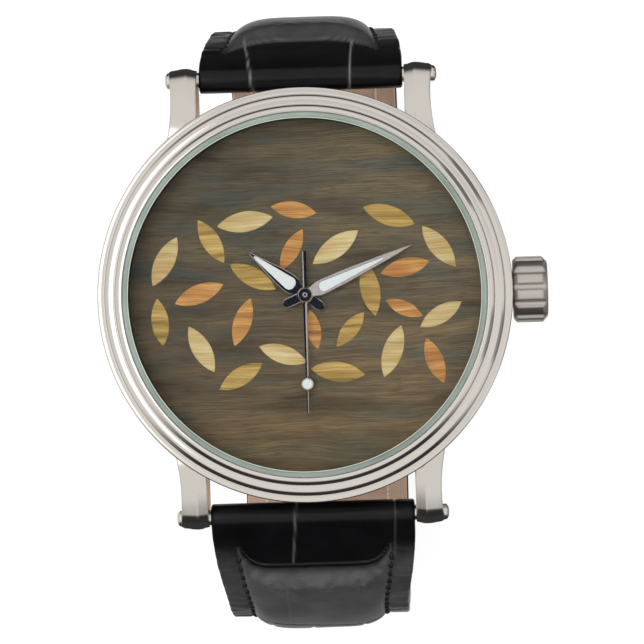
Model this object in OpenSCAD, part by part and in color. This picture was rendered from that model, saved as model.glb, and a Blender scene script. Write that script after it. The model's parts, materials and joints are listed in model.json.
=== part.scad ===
// Wristwatch with a round stepped bezel, a marquetry dial, a quartz movement and a padded strap on a pin buckle.
// Millimetres. The dial faces +Z, 12 o'clock is +Y and the crown is on +X. z = 0 is the case back's outer face.

/* [Case] */
// Gap between the lugs, where the strap fits
lug_gap = 20.0; // [16:0.5:24]
// Outer radius of the mid-case
case_r = 19.5; // [19:0.1:19.8]
// Height of the mid-case's flat underside
case_z0 = 0.55; // [0.3:0.05:0.8]
// Height of the mid-case's top, where the bezel sits
case_z1 = 6.6; // [6.5:0.05:6.8]
// Radius of the bore that holds the movement
cavity_r = 15.5; // [15.4:0.05:15.7]
// Height of the ledge under the dial
dial_ledge_z = 5.9; // [5.85:0.05:6]
// Rounding of the mid-case's lower edge
case_edge = 0.6; // [0.3:0.1:0.9]
// Width of a lug at its tip
lug_w = 2.8; // [2.5:0.02:3]
// Width of a lug's inner facet
lug_facet_w = 1.0; // [0.6:0.1:1.4]
// Fall of the inner facet
lug_fall_in = 0.3; // [0.1:0.05:0.8]
// Fall of the outer facet
lug_fall_out = 0.3; // [0.1:0.05:0.6]
// Distance of the lug tips from the centre
lug_reach = 22.4; // [22.3:0.05:22.8]
// Radius of the round lug tip
lug_tip_r = 2.4; // [2.1:0.05:2.5]
// Rounding of the tip's outer corner, seen from above
lug_corner_r = 1.1; // [0.8:0.05:1.2]
// Radius of the long curve along the lug's top
lug_arc_r = 16.0; // [14:0.5:20]
// Width of a lug at its waist
lug_waist_w = 2.5; // [2.45:0.01:2.6]
// Radius of the waist cut along the lug's outer side
lug_waist_r = 18.0; // [15:1:45]
// Radius of the dial recess
dial_seat_r = 17.1; // [17.05:0.05:17.2]
// Outer radius of the collar that centres the bezel
collar_r = 18.3; // [18.1:0.05:18.5]
// Height of that collar above the case
collar_h = 0.8; // [0.5:0.05:0.85]
// Outer radius of the case back
back_r = 16.3; // [16:0.05:16.5]
// Thickness of the case back's flange
back_t = 0.95; // [0.8:0.05:1]
// Outer radius of the case back's spigot
spigot_r = 15.4; // [15.3:0.05:15.45]
// Height of the spigot's rim
spigot_z = 2.0; // [1.9:0.05:2.05]
// Number of wrench notches in the case back
back_notches = 6; // [4:1:8]
// Depth of a wrench notch
notch_d = 0.45; // [0.2:0.05:0.6]

/* [Bezel and glass] */
// Outer radius of the bezel
bezel_r = 19.8; // [19.6:0.05:19.9]
// Height of the bezel's inner lip
bezel_z1 = 9.4; // [9.3:0.05:9.5]
// Height of the middle band
bezel_z2 = 9.0; // [8.9:0.05:9.1]
// Height of the outer band
bezel_z3 = 8.6; // [8.45:0.05:8.7]
// Width of the outer band
outer_band_w = 0.68; // [0.5:0.02:0.8]
// Width of the middle band
mid_band_w = 0.63; // [0.5:0.01:0.7]
// Width of the slope below the lip and below the middle band
slope_w = 0.37; // [0.3:0.01:0.4]
// Width of the fine line turned at the foot of each slope
line_w = 0.07; // [0.04:0.01:0.1]
// Depth of that line
line_d = 0.15; // [0.05:0.01:0.25]
// Fall of each band towards its outer edge
band_fall = 0.02; // [0.01:0.005:0.03]
// Radius of the glass
glass_r = 17.33; // [17.2:0.01:17.36]
// Height of the glass's underside
glass_z0 = 8.1; // [8.05:0.05:8.3]
// Height of the glass's top
glass_z1 = 9.6; // [9.4:0.05:9.8]
// Chamfer around the glass
glass_chamfer = 0.48; // [0.2:0.02:0.6]
// Outer radius of the glass gasket
glass_gasket_r = 17.6; // [17.5:0.01:17.62]
// Height of the gasket
glass_gasket_h = 0.85; // [0.5:0.05:0.9]

/* [Dial] */
// Height of the dial's face
dial_z = 6.5; // [6.45:0.01:6.55]
// Thickness of the wood veneer
veneer_t = 0.3; // [0.2:0.02:0.32]
// Radius of the dial
dial_r = 17.0; // [16.95:0.01:17.04]
// Radius of the hole for the hands' tubes
dial_hole_r = 0.85; // [0.82:0.01:1]
// Inner radius of the ring round the dial
dial_ring_r = 16.85; // [16.6:0.05:16.9]
// Width of a leaf against its length
leaf_plump = 0.36; // [0.28:0.01:0.38]

/* [Hands] */
// Angle of the minute hand clockwise from 12
minute_angle = 66.5; // [0:0.5:360]
// Angle of the hour hand clockwise from 12
hour_angle = 308.5; // [0:0.5:360]
// Angle of the seconds hand clockwise from 12
second_angle = 180.0; // [0:1:360]
// Length of the minute hand
minute_len = 11.35; // [10:0.05:14]
// Length of the hour hand
hour_len = 7.3; // [6:0.05:9]
// Length of the seconds hand
second_len = 11.4; // [10:0.05:14.5]
// Thickness of the hour and minute hands
hand_t = 0.15; // [0.1:0.01:0.18]
// Thickness of the luminous filling
lume_t = 0.04; // [0.02:0.01:0.05]
// Underside of the hour hand
hour_hand_z = 6.93; // [6.8:0.01:6.95]
// Underside of the minute hand
minute_hand_z = 7.25; // [7.2:0.01:7.28]
// Underside of the seconds hand
second_hand_z = 7.57; // [7.53:0.01:7.62]
// Thickness of the seconds hand
second_t = 0.1; // [0.06:0.01:0.12]
// Radius of the disc on the seconds hand
dot_r = 0.65; // [0.4:0.05:0.8]
// Distance of that disc from the centre
dot_at = 8.5; // [7:0.1:9.5]
// Length of the seconds hand's tail
second_tail = 4.2; // [2:0.1:6]
// Radius of the seconds hand's hub
hub_r = 0.69; // [0.5:0.01:0.8]

/* [Movement] */
// Radius of the movement
movement_r = 13.1; // [13:0.05:13.3]
// Underside of the main plate
plate_z0 = 4.5; // [4.45:0.01:4.6]
// Top of the main plate
plate_z1 = 5.2; // [5.15:0.01:5.25]
// Underside of the train bridge
bridge_z0 = 2.3; // [2.2:0.05:2.4]
// Top of the train bridge
bridge_z1 = 3.0; // [2.9:0.02:3.02]
// Radius of the seconds arbor
seconds_arbor_r = 0.14; // [0.1:0.01:0.16]
// Outer radius of the centre wheel's tube
centre_tube_r = 0.30; // [0.26:0.01:0.32]
// Outer radius of the cannon pinion's tube
cannon_tube_r = 0.48; // [0.44:0.01:0.5]
// Outer radius of the hour wheel's tube
hour_tube_r = 0.75; // [0.7:0.01:0.78]
// Direction of the minute wheel from the centre
minute_arbor_angle = 20; // [0:5:60]
// Direction of the third wheel from the centre
third_arbor_angle = 100; // [80:5:140]
// Direction of the intermediate wheel from the centre
relay_arbor_angle = 200; // [195:1:205]
// Module of the cannon pinion and minute wheel
motion_module = 0.1; // [0.08:0.01:0.12]
// Module of the centre wheel
centre_module = 0.066; // [0.062:0.001:0.069]
// Module of the seconds wheel and rotor gears
rotor_module = 0.08; // [0.07:0.01:0.09]
// Radius of the rotor's magnet
magnet_r = 0.8; // [0.5:0.05:0.9]
// Radius of the battery
battery_r = 4.75; // [3.4:0.05:5]
// Height of the battery
battery_h = 2.05; // [1.6:0.05:2.1]
// Radius of the drive coil
coil_r = 0.8; // [0.6:0.05:0.9]
// Length of the drive coil
coil_len = 7.0; // [5:0.5:8]
// Radius of the quartz crystal's can
can_r = 0.7; // [0.5:0.05:0.75]
// Length of the quartz crystal's can
can_len = 6.0; // [5:0.5:7]

/* [Crown] */
// Radius of the crown over its flutes
crown_r = 3.175; // [2.5:0.025:3.4]
// Length of the crown
crown_len = 3.3; // [2.4:0.1:4]
// Where the crown begins on X
crown_x = 19.9; // [19.9:0.05:20.4]
// Height of the crown's axis
crown_z = 3.9; // [3.85:0.01:3.95]
// Number of flutes on the crown
crown_flutes = 12; // [10:1:24]
// Turn of the first flute
flute_start = 26.5; // [0:0.5:29.5]
// Radius of a flute
flute_r = 0.36; // [0.2:0.02:0.5]
// Chamfer at the crown's ends
crown_chamfer = 0.5; // [0.2:0.05:0.8]
// How far the crown pulls out
crown_travel = 1.0; // [0.6:0.1:1.2]
// Outer radius of the crown tube
crown_tube_r = 1.5; // [1.3:0.05:1.6]
// Outer radius of the crown's gasket
crown_gasket_r = 2.05; // [1.9:0.05:2.2]
// Radius of the winding stem
stem_r = 0.5; // [0.4:0.02:0.55]
// Half width of the stem's square
stem_square = 0.3; // [0.25:0.01:0.32]
// Radius of the clutch pinion
clutch_r = 0.85; // [0.7:0.05:0.9]
// Arm of the setting lever
lever_arm = 2.5; // [2.3:0.1:2.8]

/* [Strap] */
// Height of the strap bars
bar_z = 2.4; // [2.3:0.05:2.6]
// Distance of the strap bars from the centre
bar_y = 21.2; // [21.1:0.02:21.3]
// Radius of a strap bar
bar_r = 0.75; // [0.6:0.05:0.8]
// Radius of a bar screw's head
screw_head_r = 0.8; // [0.6:0.05:0.9]
// Radius of the strap's loop round a bar
loop_r = 1.32; // [1.2:0.01:1.35]
// Width of the strap at the lugs
strap_w0 = 19.4; // [15:0.1:23]
// Width of the strap at the buckle
strap_w1 = 18.0; // [14:0.1:20]
// Length over which the strap narrows
taper_len = 25.0; // [15:1:40]
// Thickness of the outer leather
leather_t = 0.9; // [0.7:0.05:1]
// Thickness of the lining
lining_t = 0.85; // [0.6:0.05:0.9]
// Height of the padding
pad_h = 1.3; // [1.1:0.1:2]
// Distance of the stitch line from the strap's edge
stitch_in = 2.3; // [1.5:0.1:3]
// How flat the padding's crown is across the strap
crown_power = 5; // [3:1:7]
// Where the padding starts along the strap
pad_start = 5.5; // [4:0.5:8]
// Where the padding ends along the strap
pad_end = 33.0; // [25:0.5:33.5]
// Bend radius of the strap next to the case
bend_r = 22.0; // [20:0.5:24]
// Widest point of the loop on the 12 o'clock side
loop_y12 = 26.1; // [25.5:0.1:26.8]
// Widest point of the loop on the 6 o'clock side
loop_y6 = 31.2; // [30.5:0.1:31.8]
// Level of the short strap along the bottom
floor_z = -45.0; // [-50:0.5:-42]
// Bend radius into the bottom
floor_r = 14.5; // [14:0.5:15.5]
// Length of the long strap past the buckle's tongue
tail_len = 35.0; // [20:1:40]
// Spacing of the strap's holes
hole_pitch = 6.0; // [5:0.5:8]
// Radius of the strap's holes
hole_r = 1.05; // [0.95:0.05:1.2]
// Width of a keeper
keeper_w = 3.8; // [3:0.1:4]
// Thickness of a keeper
keeper_t = 1.6; // [1.2:0.1:1.8]
// Where the fixed keeper stands on Y
fixed_keeper_y = 3.2; // [3:0.1:3.4]
// Where the free keeper stands on Y
free_keeper_y = 8.7; // [8.5:0.1:8.8]

/* [Buckle] */
// Position of the buckle's bar on Y
buckle_y = -3.0; // [-3.4:0.1:-2.8]
// Radius of the buckle's bar
buckle_bar_r = 0.6; // [0.5:0.05:0.7]
// Distance from the bar to the buckle's rail
buckle_reach = 9.2; // [8.8:0.1:9.6]
// Width of one arm of the buckle
buckle_arm_w = 1.5; // [1.2:0.1:2]
// Radius of the buckle's rail
rail_r = 0.8; // [0.7:0.05:0.9]
// Width of the tongue
tongue_w = 1.5; // [1.2:0.1:1.6]
// Thickness of the tongue
tongue_t = 0.76; // [0.6:0.02:0.8]

/* [Clearances] */
// Radial clearance of a turning fit in the movement
arbor_gap = 0.04; // [0.01:0.005:0.06]
// Radial clearance of the strap on its bars
bar_gap = 0.07; // [0.03:0.01:0.1]
// Clearance of parts that are set together
seat_gap = 0.05; // [0.02:0.01:0.08]
// Clearance around an inlaid leaf
inlay_gap = 0.03; // [0.01:0.01:0.06]
// Clearance between soft parts and their neighbours
soft_gap = 0.35; // [0.3:0.01:0.5]
// Gap between two layers of one strap
layer_gap = 0.03; // [0.01:0.01:0.05]
// Clearance between the strap's edge and the buckle's arms
buckle_side_gap = 0.35; // [0.3:0.01:0.9]

/* [Hidden] */
$fn = 64;
lug_x0 = lug_gap / 2;
lug_x1 = lug_x0 + lug_w;
lug_arc_u = 15.0;
lug_arc_c = case_z1 - 0.3 - lug_arc_r;
lug_tip_u = lug_reach - lug_tip_r;
lug_tip_c = lug_arc_c + sqrt(pow(lug_arc_r - lug_tip_r, 2) - pow(lug_tip_u - lug_arc_u, 2));
lug_bottom = lug_tip_c - lug_tip_r;
lug_end_u = lug_reach - 0.12;
lug_corner_x = lug_x1 + 0.13 - lug_corner_r;
lug_corner_u = lug_end_u + 0.05 - lug_corner_r;
bezel_seat_r = collar_r + seat_gap;
foot_out_r = bezel_r - outer_band_w;
slope_out_r = foot_out_r - slope_w;
foot_in_r = slope_out_r - mid_band_w;
slope_in_r = foot_in_r - slope_w;
plate_t = dial_z - veneer_t - dial_ledge_z;
minute_dist = 24 * motion_module;
hour_module = minute_dist / 25;
third_dist = 34 * centre_module;
third_module = third_dist / 36;
relay_dist = 28 * rotor_module;
rotor_dist = 18 * rotor_module;
minute_at = minute_dist * [cos(minute_arbor_angle), sin(minute_arbor_angle)];
third_at = third_dist * [cos(third_arbor_angle), sin(third_arbor_angle)];
relay_at = relay_dist * [cos(relay_arbor_angle), sin(relay_arbor_angle)];
rotor_at = relay_at + rotor_dist * [cos(relay_arbor_angle), sin(relay_arbor_angle)];
battery_at = [-2.9, -7.6];
coil_at = [-8.6, 0.6];
can_at = [4.2, 8.2];
groove_x = 11.2;
square_x = 6.9;
clutch_x = 8.2;
clutch_len = 1.7;
stem_pilot_r = 0.25;
stator_r = magnet_r + 0.6;
lever_swing = 2 * asin(crown_travel / 2 / lever_arm);
lever_pin_y = -0.45;
lever_at = [groove_x + crown_travel / 2, lever_pin_y - lever_arm * cos(lever_swing / 2)];
layer_step = loop_r + soft_gap + lining_t;
floor_long_z = floor_z - layer_step;
base_z = floor_long_z - leather_t - soft_gap - keeper_t;
rail_y = buckle_y - buckle_reach;
buckle_in = strap_w1 + 2 * buckle_side_gap;
rail_z = base_z + rail_r;
slot_y = buckle_y - 2.0;
slot_len = 3.2;

// Strap paths, as runs of [length, degrees per mm] from the bar, in a plane where u points away from the case
deg = 180 / PI;
u12 = loop_y12 - bend_r;
a12 = acos((bar_y - u12) / bend_r);
z12 = bar_z - bend_r * sin(a12);
u6 = loop_y6 - bend_r;
a6 = acos((bar_y - u6) / bend_r);
z6 = bar_z - bend_r * sin(a6);
short_runs = [
    [bend_r * a12 / deg, -deg / bend_r],
    [z12 - floor_z - floor_r, 0],
    [floor_r * PI / 2, -deg / floor_r],
    [loop_y12 - floor_r - buckle_y, 0]
];
long_bend = floor_r + layer_step;
long_flat = loop_y6 - floor_r + loop_y12 - floor_r;
long_to_slot = loop_y6 - floor_r + slot_y;
long_runs = [
    [bend_r * a6 / deg, -deg / bend_r],
    [z6 - floor_long_z - floor_r, 0],
    [floor_r * PI / 2, -deg / floor_r],
    [long_flat, 0],
    [long_bend * PI, -deg / long_bend]
];
short_len = short_runs[0][0] + short_runs[1][0] + short_runs[2][0] + short_runs[3][0];
long_mid = long_runs[0][0] + long_runs[1][0];
long_turn = long_mid + long_runs[2][0];
slot_s = long_turn + long_to_slot;
long_len = slot_s + tail_len;
tip_r = strap_w1 / 2 + 0.6;
tip_back = sqrt(tip_r * tip_r - strap_w1 * strap_w1 / 4);
tip_s = long_len - tip_r + tip_back;
short_start = [bar_y, bar_z, a12 - 90];
long_start = [bar_y, bar_z, a6 - 90];

function along(p, k, l) = k == 0
    ? [p[0] + l * cos(p[2]), p[1] + l * sin(p[2]), p[2]]
    : [
        p[0] + (sin(p[2] + k * l) - sin(p[2])) * deg / k,
        p[1] + (cos(p[2]) - cos(p[2] + k * l)) * deg / k,
        p[2] + k * l
    ];
function at(s, runs, p, i = 0) = i == len(runs) - 1 || s <= runs[i][0]
    ? along(p, runs[i][1], s)
    : at(s - runs[i][0], runs, along(p, runs[i][1], runs[i][0]), i + 1);
function lift(p, n) = [p[0] - n * sin(p[2]), p[1] + n * cos(p[2])];
function smooth(t) = t <= 0 ? 0 : t >= 1 ? 1 : t * t * (3 - 2 * t);
function width(s) = strap_w0 + (strap_w1 - strap_w0) * smooth((s - pad_start) / (taper_len - pad_start));
function half_tip(s) = s < tip_s ? strap_w1 / 2 : sqrt(max(1, tip_r * tip_r - pow(tip_back + s - tip_s, 2)));
function pad(s) = pad_h * smooth((s - pad_start) / 2.2) * (1 - smooth((s - 20) / (pad_end - 20)));
function crown_of(x, xp) = abs(x) >= xp ? 0 : 1 - pow(abs(x) / xp, crown_power);
function flip(x, y, z, side) = [x, side * y, z];
function ring(p, side, xs, ns) = [
    for (j = [0:len(xs) - 1]) let (q = lift(p, ns[j])) flip(side * xs[j], q[0], q[1], side)
];
function skin_faces(m, k) = concat(
    [for (i = [0:m - 2]) for (j = [0:k - 1]) [i * k + j, i * k + (j + 1) % k, (i + 1) * k + (j + 1) % k]],
    [for (i = [0:m - 2]) for (j = [0:k - 1]) [i * k + j, (i + 1) * k + (j + 1) % k, (i + 1) * k + j]],
    [for (j = [0:k / 2 - 2]) [k - 1 - j, j + 1, j]],
    [for (j = [0:k / 2 - 2]) [k - 1 - j, k - 2 - j, j + 1]],
    [for (j = [0:k / 2 - 2]) (m - 1) * k * [1, 1, 1] + [j, j + 1, k - 1 - j]],
    [for (j = [0:k / 2 - 2]) (m - 1) * k * [1, 1, 1] + [j + 1, k - 2 - j, k - 1 - j]]
);
function steps(s0, s1, count) = [for (i = [0:count]) s0 + (s1 - s0) * i / count];
function half_xs(w, xp) = [w / 2, w / 2 - 0.25, w / 2 - 1.1, xp, 0.93 * xp, 0.8 * xp, 0.6 * xp, 0.35 * xp];
function across(w, xp) = let (h = half_xs(w, xp)) concat(
    [for (i = [0:7]) -h[i]],
    [0],
    [for (i = [7:-1:0]) h[i]]
);
function back_of(v) = [for (i = [len(v) - 1:-1:0]) v[i]];
function edge_drop(i) = i == 0 || i == 16 ? 0.4 : i == 1 || i == 15 ? 0.12 : 0;

// One gear outline: teeth with straight flanks, narrower than the gaps between them
function gear_points(z, m) = [
    for (i = [0:z - 1]) for (j = [0:3])
        let (
            a = 360 * i / z + [-0.28, -0.115, 0.115, 0.28][j] * 360 / z,
            r = m * z / 2 + (j == 0 || j == 3 ? -1.2 : 0.85) * m
        ) r * [cos(a), sin(a)]
];

module tube(r1, r0, z0, z1) {
    translate([0, 0, z0])
        difference() {
            cylinder(r = r1, h = z1 - z0);
            translate([0, 0, -1])
                cylinder(r = r0, h = z1 - z0 + 2);
        }
}

module disc(r, z0, z1) {
    translate([0, 0, z0])
        cylinder(r = r, h = z1 - z0);
}

module along_x(x0, x1, r, y = 0, z = 0) {
    translate([x0, y, z])
        rotate([0, 90, 0])
            cylinder(r = r, h = x1 - x0);
}

module clock(angle) {
    rotate([0, 0, -angle])
        children();
}

module gear(z, m, z0, z1, facing, gap_first) {
    rotate([0, 0, facing + (gap_first ? 180 / z : 0)])
        translate([0, 0, z0])
            linear_extrude(height = z1 - z0)
                polygon(gear_points(z, m));
}

// A lug is turned about X so that its two facets follow its curve
module lug_wheel(u, z, r) {
    translate([0, u, z])
        rotate([0, 90, 0])
            rotate_extrude($fn = 96)
                polygon([
                    [0, lug_x0],
                    [r - lug_fall_in, lug_x0],
                    [r, lug_x0 + lug_facet_w],
                    [r - lug_fall_out, lug_x1 + 0.1],
                    [0, lug_x1 + 0.1]
                ]);
}

// The long curve and the round tip each keep to their own side of one shared face
module lug_mask(points) {
    translate([lug_x0 - 1, 0, 0])
        rotate([90, 0, 90])
            linear_extrude(height = lug_w + 3)
                polygon(points);
}

module lug() {
    c = [lug_tip_u, lug_tip_c];
    d = [lug_tip_u - lug_arc_u, lug_tip_c - lug_arc_c] / (lug_arc_r - lug_tip_r);
    difference() {
        union() {
            intersection() {
                lug_wheel(lug_arc_u, lug_arc_c, lug_arc_r);
                lug_mask([[12, lug_bottom], [c[0], lug_bottom], c, c + d * 6, [12, c[1] + d[1] * 6]]);
            }
            intersection() {
                lug_wheel(lug_tip_u, lug_tip_c, lug_tip_r);
                lug_mask([[c[0], lug_bottom - 2], [c[0] + 8, lug_bottom - 2], c + [8, 8], c + d * 6, c]);
            }
        }
        translate([lug_x0 + lug_waist_w + lug_waist_r, 19, -1])
            cylinder(r = lug_waist_r, h = 10, $fn = 96);
        translate([lug_x0 - 1, lug_end_u, -1])
            cube([lug_w + 3, 2, 12]);
        translate([lug_corner_x, lug_corner_u, -1])
            difference() {
                cube([lug_corner_r + 1, lug_corner_r + 1, 12]);
                translate([0, 0, -1])
                    cylinder(r = lug_corner_r, h = 14);
            }
        along_x(lug_x0 - 1, lug_x0 + 2.0, bar_r + seat_gap, bar_y, bar_z);
        along_x(lug_x0 - 1, lug_x1 + 1, 0.47, bar_y, bar_z);
        along_x(lug_x0 + 2.42, lug_x1 + 1, screw_head_r + seat_gap, bar_y, bar_z);
    }
}

module mid_case() {
    color("silver")
        difference() {
            union() {
                translate([0, 0, 0])
                    rotate_extrude($fn = 128)
                        polygon([
                            [cavity_r, case_z0],
                            [case_r - case_edge, case_z0],
                            [case_r - case_edge * 0.3, case_z0 + case_edge * 0.3],
                            [case_r, case_z0 + case_edge],
                            [case_r, case_z1],
                            [collar_r, case_z1],
                            [collar_r, case_z1 + collar_h],
                            [glass_gasket_r + 2 * seat_gap, case_z1 + collar_h],
                            [glass_gasket_r + 2 * seat_gap, case_z1],
                            [cavity_r, case_z1]
                        ]);
                for (sx = [0, 1])
                    for (sy = [0, 1])
                        mirror([sx, 0, 0])
                            mirror([0, sy, 0])
                                lug();
            }
            disc(back_r + seat_gap, -1, back_t + seat_gap);
            disc(cavity_r, 0, 12);
            disc(dial_seat_r, dial_ledge_z, 12);
            along_x(12, 21, crown_tube_r, 0, crown_z);
        }
}

module crown_tube() {
    color("silver")
        difference() {
            along_x(16.2, crown_x + 1.5, crown_tube_r, 0, crown_z);
            along_x(10, 26, stem_r + 0.08, 0, crown_z);
        }
}

module bezel() {
    color("silver")
        rotate_extrude($fn = 128)
            polygon([
                [bezel_seat_r, case_z1],
                [bezel_r - 0.15, case_z1],
                [bezel_r, case_z1 + 0.15],
                [bezel_r, bezel_z3 - 0.16],
                [bezel_r - 0.06, bezel_z3 - 0.045],
                [bezel_r - 0.14, bezel_z3],
                [foot_out_r + line_w, bezel_z3 + band_fall],
                [foot_out_r + line_w, bezel_z3 - line_d],
                [foot_out_r, bezel_z3 - line_d],
                [foot_out_r, bezel_z3 + 0.01],
                [slope_out_r, bezel_z2 - 0.03],
                [slope_out_r - 0.05, bezel_z2],
                [foot_in_r + line_w, bezel_z2 + band_fall],
                [foot_in_r + line_w, bezel_z2 - line_d],
                [foot_in_r, bezel_z2 - line_d],
                [foot_in_r, bezel_z2 + 0.01],
                [slope_in_r, bezel_z1 - 0.04],
                [slope_in_r - 0.05, bezel_z1 - 0.01],
                [glass_r + 0.1, bezel_z1],
                [glass_r + seat_gap, bezel_z1 - 0.06],
                [glass_r + seat_gap, glass_z0 + glass_gasket_h + seat_gap],
                [glass_gasket_r + seat_gap / 2, glass_z0 + glass_gasket_h + seat_gap],
                [glass_gasket_r + seat_gap / 2, case_z1 + collar_h + seat_gap],
                [bezel_seat_r, case_z1 + collar_h + seat_gap]
            ]);
}

module crystal() {
    color("azure", 0.35)
        rotate_extrude($fn = 128)
            polygon([
                [0, glass_z0],
                [glass_r, glass_z0],
                [glass_r, glass_z1 - glass_chamfer],
                [glass_r - glass_chamfer, glass_z1],
                [0, glass_z1]
            ]);
}

module crystal_gasket() {
    color("whitesmoke")
        tube(glass_gasket_r, glass_r + 0.02, glass_z0, glass_z0 + glass_gasket_h);
}

module dial_ring() {
    color("dimgray")
        rotate_extrude($fn = 128)
            polygon([
                [dial_ring_r, dial_z],
                [dial_seat_r - seat_gap, dial_z],
                [dial_seat_r - seat_gap, case_z1],
                [glass_gasket_r - seat_gap, case_z1],
                [glass_gasket_r - seat_gap, glass_z0],
                [dial_ring_r, glass_z0]
            ]);
}

module dial_plate() {
    color("goldenrod")
        difference() {
            disc(dial_r, dial_ledge_z, dial_z - veneer_t);
            disc(dial_hole_r, 0, 12);
        }
}

// Leaves of the dial's marquetry: x, y, direction and length of each
blond_leaves = [
    [-13.4, 3.6, 62, 5.2], [-10.1, -4.9, 118, 5.0], [-5.6, 7.2, 8, 5.4], [-2.3, -5.6, 160, 4.8],
    [3.0, 4.5, 35, 5.4], [8.2, -5.6, 70, 5.2], [12.9, 4.3, 128, 5.0], [12.9, -2.2, 30, 4.6]
];
gold_leaves = [
    [-14.0, -2.2, 96, 4.6], [-8.9, 5.4, 120, 4.8], [-5.0, 1.9, 150, 5.0], [-6.4, -7.6, 30, 4.8],
    [2.9, -7.4, 172, 5.2], [6.2, 0.4, 100, 5.2], [8.2, 7.4, 160, 5.2], [4.2, -3.4, 50, 4.2]
];
russet_leaves = [
    [-10.2, 0.4, 20, 5.0], [-6.1, -2.4, 70, 4.8], [-0.9, 8.2, 170, 4.4], [0.7, -3.3, 100, 3.8],
    [9.6, 2.4, 12, 4.8], [12.2, -6.6, 110, 4.6], [-1.2, 4.4, 60, 4.4], [9.4, -1.5, 155, 3.8]
];

module leaf(l, grow) {
    w = l[3] * leaf_plump;
    r = (l[3] * l[3] / 4 + w * w / 4) / w;
    translate([l[0], l[1], dial_z - veneer_t - (grow > 0 ? 1 : 0)])
        rotate([0, 0, l[2]])
            intersection() {
                translate([0, r - w / 2, 0])
                    cylinder(r = r + grow, h = veneer_t + (grow > 0 ? 2 : 0), $fn = 96);
                translate([0, w / 2 - r, 0])
                    cylinder(r = r + grow, h = veneer_t + (grow > 0 ? 2 : 0), $fn = 96);
            }
}

module dial_veneer() {
    color("saddlebrown")
        difference() {
            disc(dial_r, dial_z - veneer_t, dial_z);
            disc(dial_hole_r, 0, 12);
            for (l = concat(blond_leaves, gold_leaves, russet_leaves))
                leaf(l, inlay_gap);
        }
}

module inlay_blond() {
    color("burlywood")
        for (l = blond_leaves)
            leaf(l, 0);
}

module inlay_gold() {
    color("tan")
        for (l = gold_leaves)
            leaf(l, 0);
}

module inlay_russet() {
    color("peru")
        for (l = russet_leaves)
            leaf(l, 0);
}

module case_back() {
    color("silver")
        difference() {
            union() {
                disc(back_r, 0, back_t);
                disc(spigot_r, back_t - 0.1, spigot_z);
            }
            disc(spigot_r - 1.4, back_t, 12);
            translate([0, 0, 1.25])
                tube(spigot_r + 1, spigot_r - 0.4, 0, 0.55);
            for (i = [0:back_notches - 1])
                rotate([0, 0, 360 * (i + 0.5) / back_notches])
                    translate([back_r - 1.1, -0.9, -1])
                        cube([3, 1.8, 1 + notch_d]);
        }
}

module case_back_gasket() {
    color("dimgray")
        translate([0, 0, 1.52])
            rotate_extrude($fn = 128)
                translate([spigot_r - 0.17, 0])
                    circle(r = 0.22, $fn = 20);
}

module movement_holder() {
    color("whitesmoke")
        difference() {
            tube(cavity_r - seat_gap, movement_r + seat_gap, spigot_z + seat_gap, dial_ledge_z - seat_gap);
            along_x(12, 17, crown_tube_r + 0.15, 0, crown_z);
            translate([0, 0, plate_z1])
                tube(movement_r + 0.8, movement_r - 1, 0, 2);
        }
}

module main_plate() {
    color("goldenrod")
        difference() {
            union() {
                disc(movement_r, plate_z0, plate_z1);
                for (p = [[5.6, 1.1], [12.5, 0.6]])
                    translate([p[0], -1.3, bridge_z1 + 0.1])
                        cube([p[1], 2.6, plate_z0 - bridge_z1]);
                for (p = bridge_posts)
                    translate([p[0], p[1], bridge_z1])
                        cylinder(r = 0.8, h = plate_z0 - bridge_z1 + 0.1, $fn = 32);
                translate([minute_at[0], minute_at[1], plate_z1 - 0.1])
                    cylinder(r = 0.22, h = 0.72, $fn = 32);
                translate([lever_at[0], lever_at[1], bridge_z1 - 0.15])
                    cylinder(r = 0.35, h = plate_z0 - bridge_z1 + 0.2, $fn = 32);
            }
            disc(cannon_tube_r + arbor_gap + 0.1, 0, 12);
            translate([third_at[0], third_at[1], 0])
                cylinder(r = 0.1 + arbor_gap, h = 5, $fn = 32);
            translate([relay_at[0], relay_at[1], 0])
                cylinder(r = 0.1 + arbor_gap, h = 5, $fn = 32);
            translate([rotor_at[0], rotor_at[1], 0])
                cylinder(r = 0.1 + arbor_gap, h = 5, $fn = 32);
            along_x(4, 7.1, stem_pilot_r + arbor_gap, 0, crown_z);
            along_x(clutch_x - 0.2, clutch_x + clutch_len + 0.2, clutch_r + 0.1, 0, crown_z);
            along_x(11.5, 15, stem_r + arbor_gap, 0, crown_z);
            for (p = bridge_posts)
                translate([p[0], p[1], 0])
                    cylinder(r = 0.35, h = plate_z0 - 0.4, $fn = 32);
            translate([battery_at[0], battery_at[1], 0])
                cylinder(r = battery_r + 0.15, h = bridge_z0 + battery_h + 0.2);
        }
}

bridge_posts = [[5.2, 3.6], [-4.6, 4.9], [2.6, -3.6]];

module train_bridge() {
    color("goldenrod")
        difference() {
            union() {
                disc(4.1, bridge_z0, bridge_z1);
                for (p = bridge_posts)
                    translate([p[0], p[1], bridge_z0])
                        cylinder(r = 1.5, h = bridge_z1 - bridge_z0);
                translate([-0.9, -0.9, bridge_z0])
                    linear_extrude(height = bridge_z1 - bridge_z0)
                        polygon([[5.2, 6.0], [-3.0, 7.2], [-5.2, 4.8], [0, 0], [7.6, 3.6]]);
            }
            disc(seconds_arbor_r + arbor_gap, 0, 12);
            translate([third_at[0], third_at[1], 0])
                cylinder(r = 0.1 + arbor_gap, h = 5, $fn = 32);
            translate([relay_at[0], relay_at[1], 0])
                cylinder(r = 0.1 + arbor_gap, h = 5, $fn = 32);
            translate([rotor_at[0], rotor_at[1], 0])
                cylinder(r = 0.1 + arbor_gap, h = 5, $fn = 32);
            for (p = bridge_posts)
                translate([p[0], p[1], 0])
                    cylinder(r = 0.4, h = 5, $fn = 32);
            translate([battery_at[0], battery_at[1], 0])
                cylinder(r = battery_r + 0.15, h = 5);
        }
}

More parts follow.
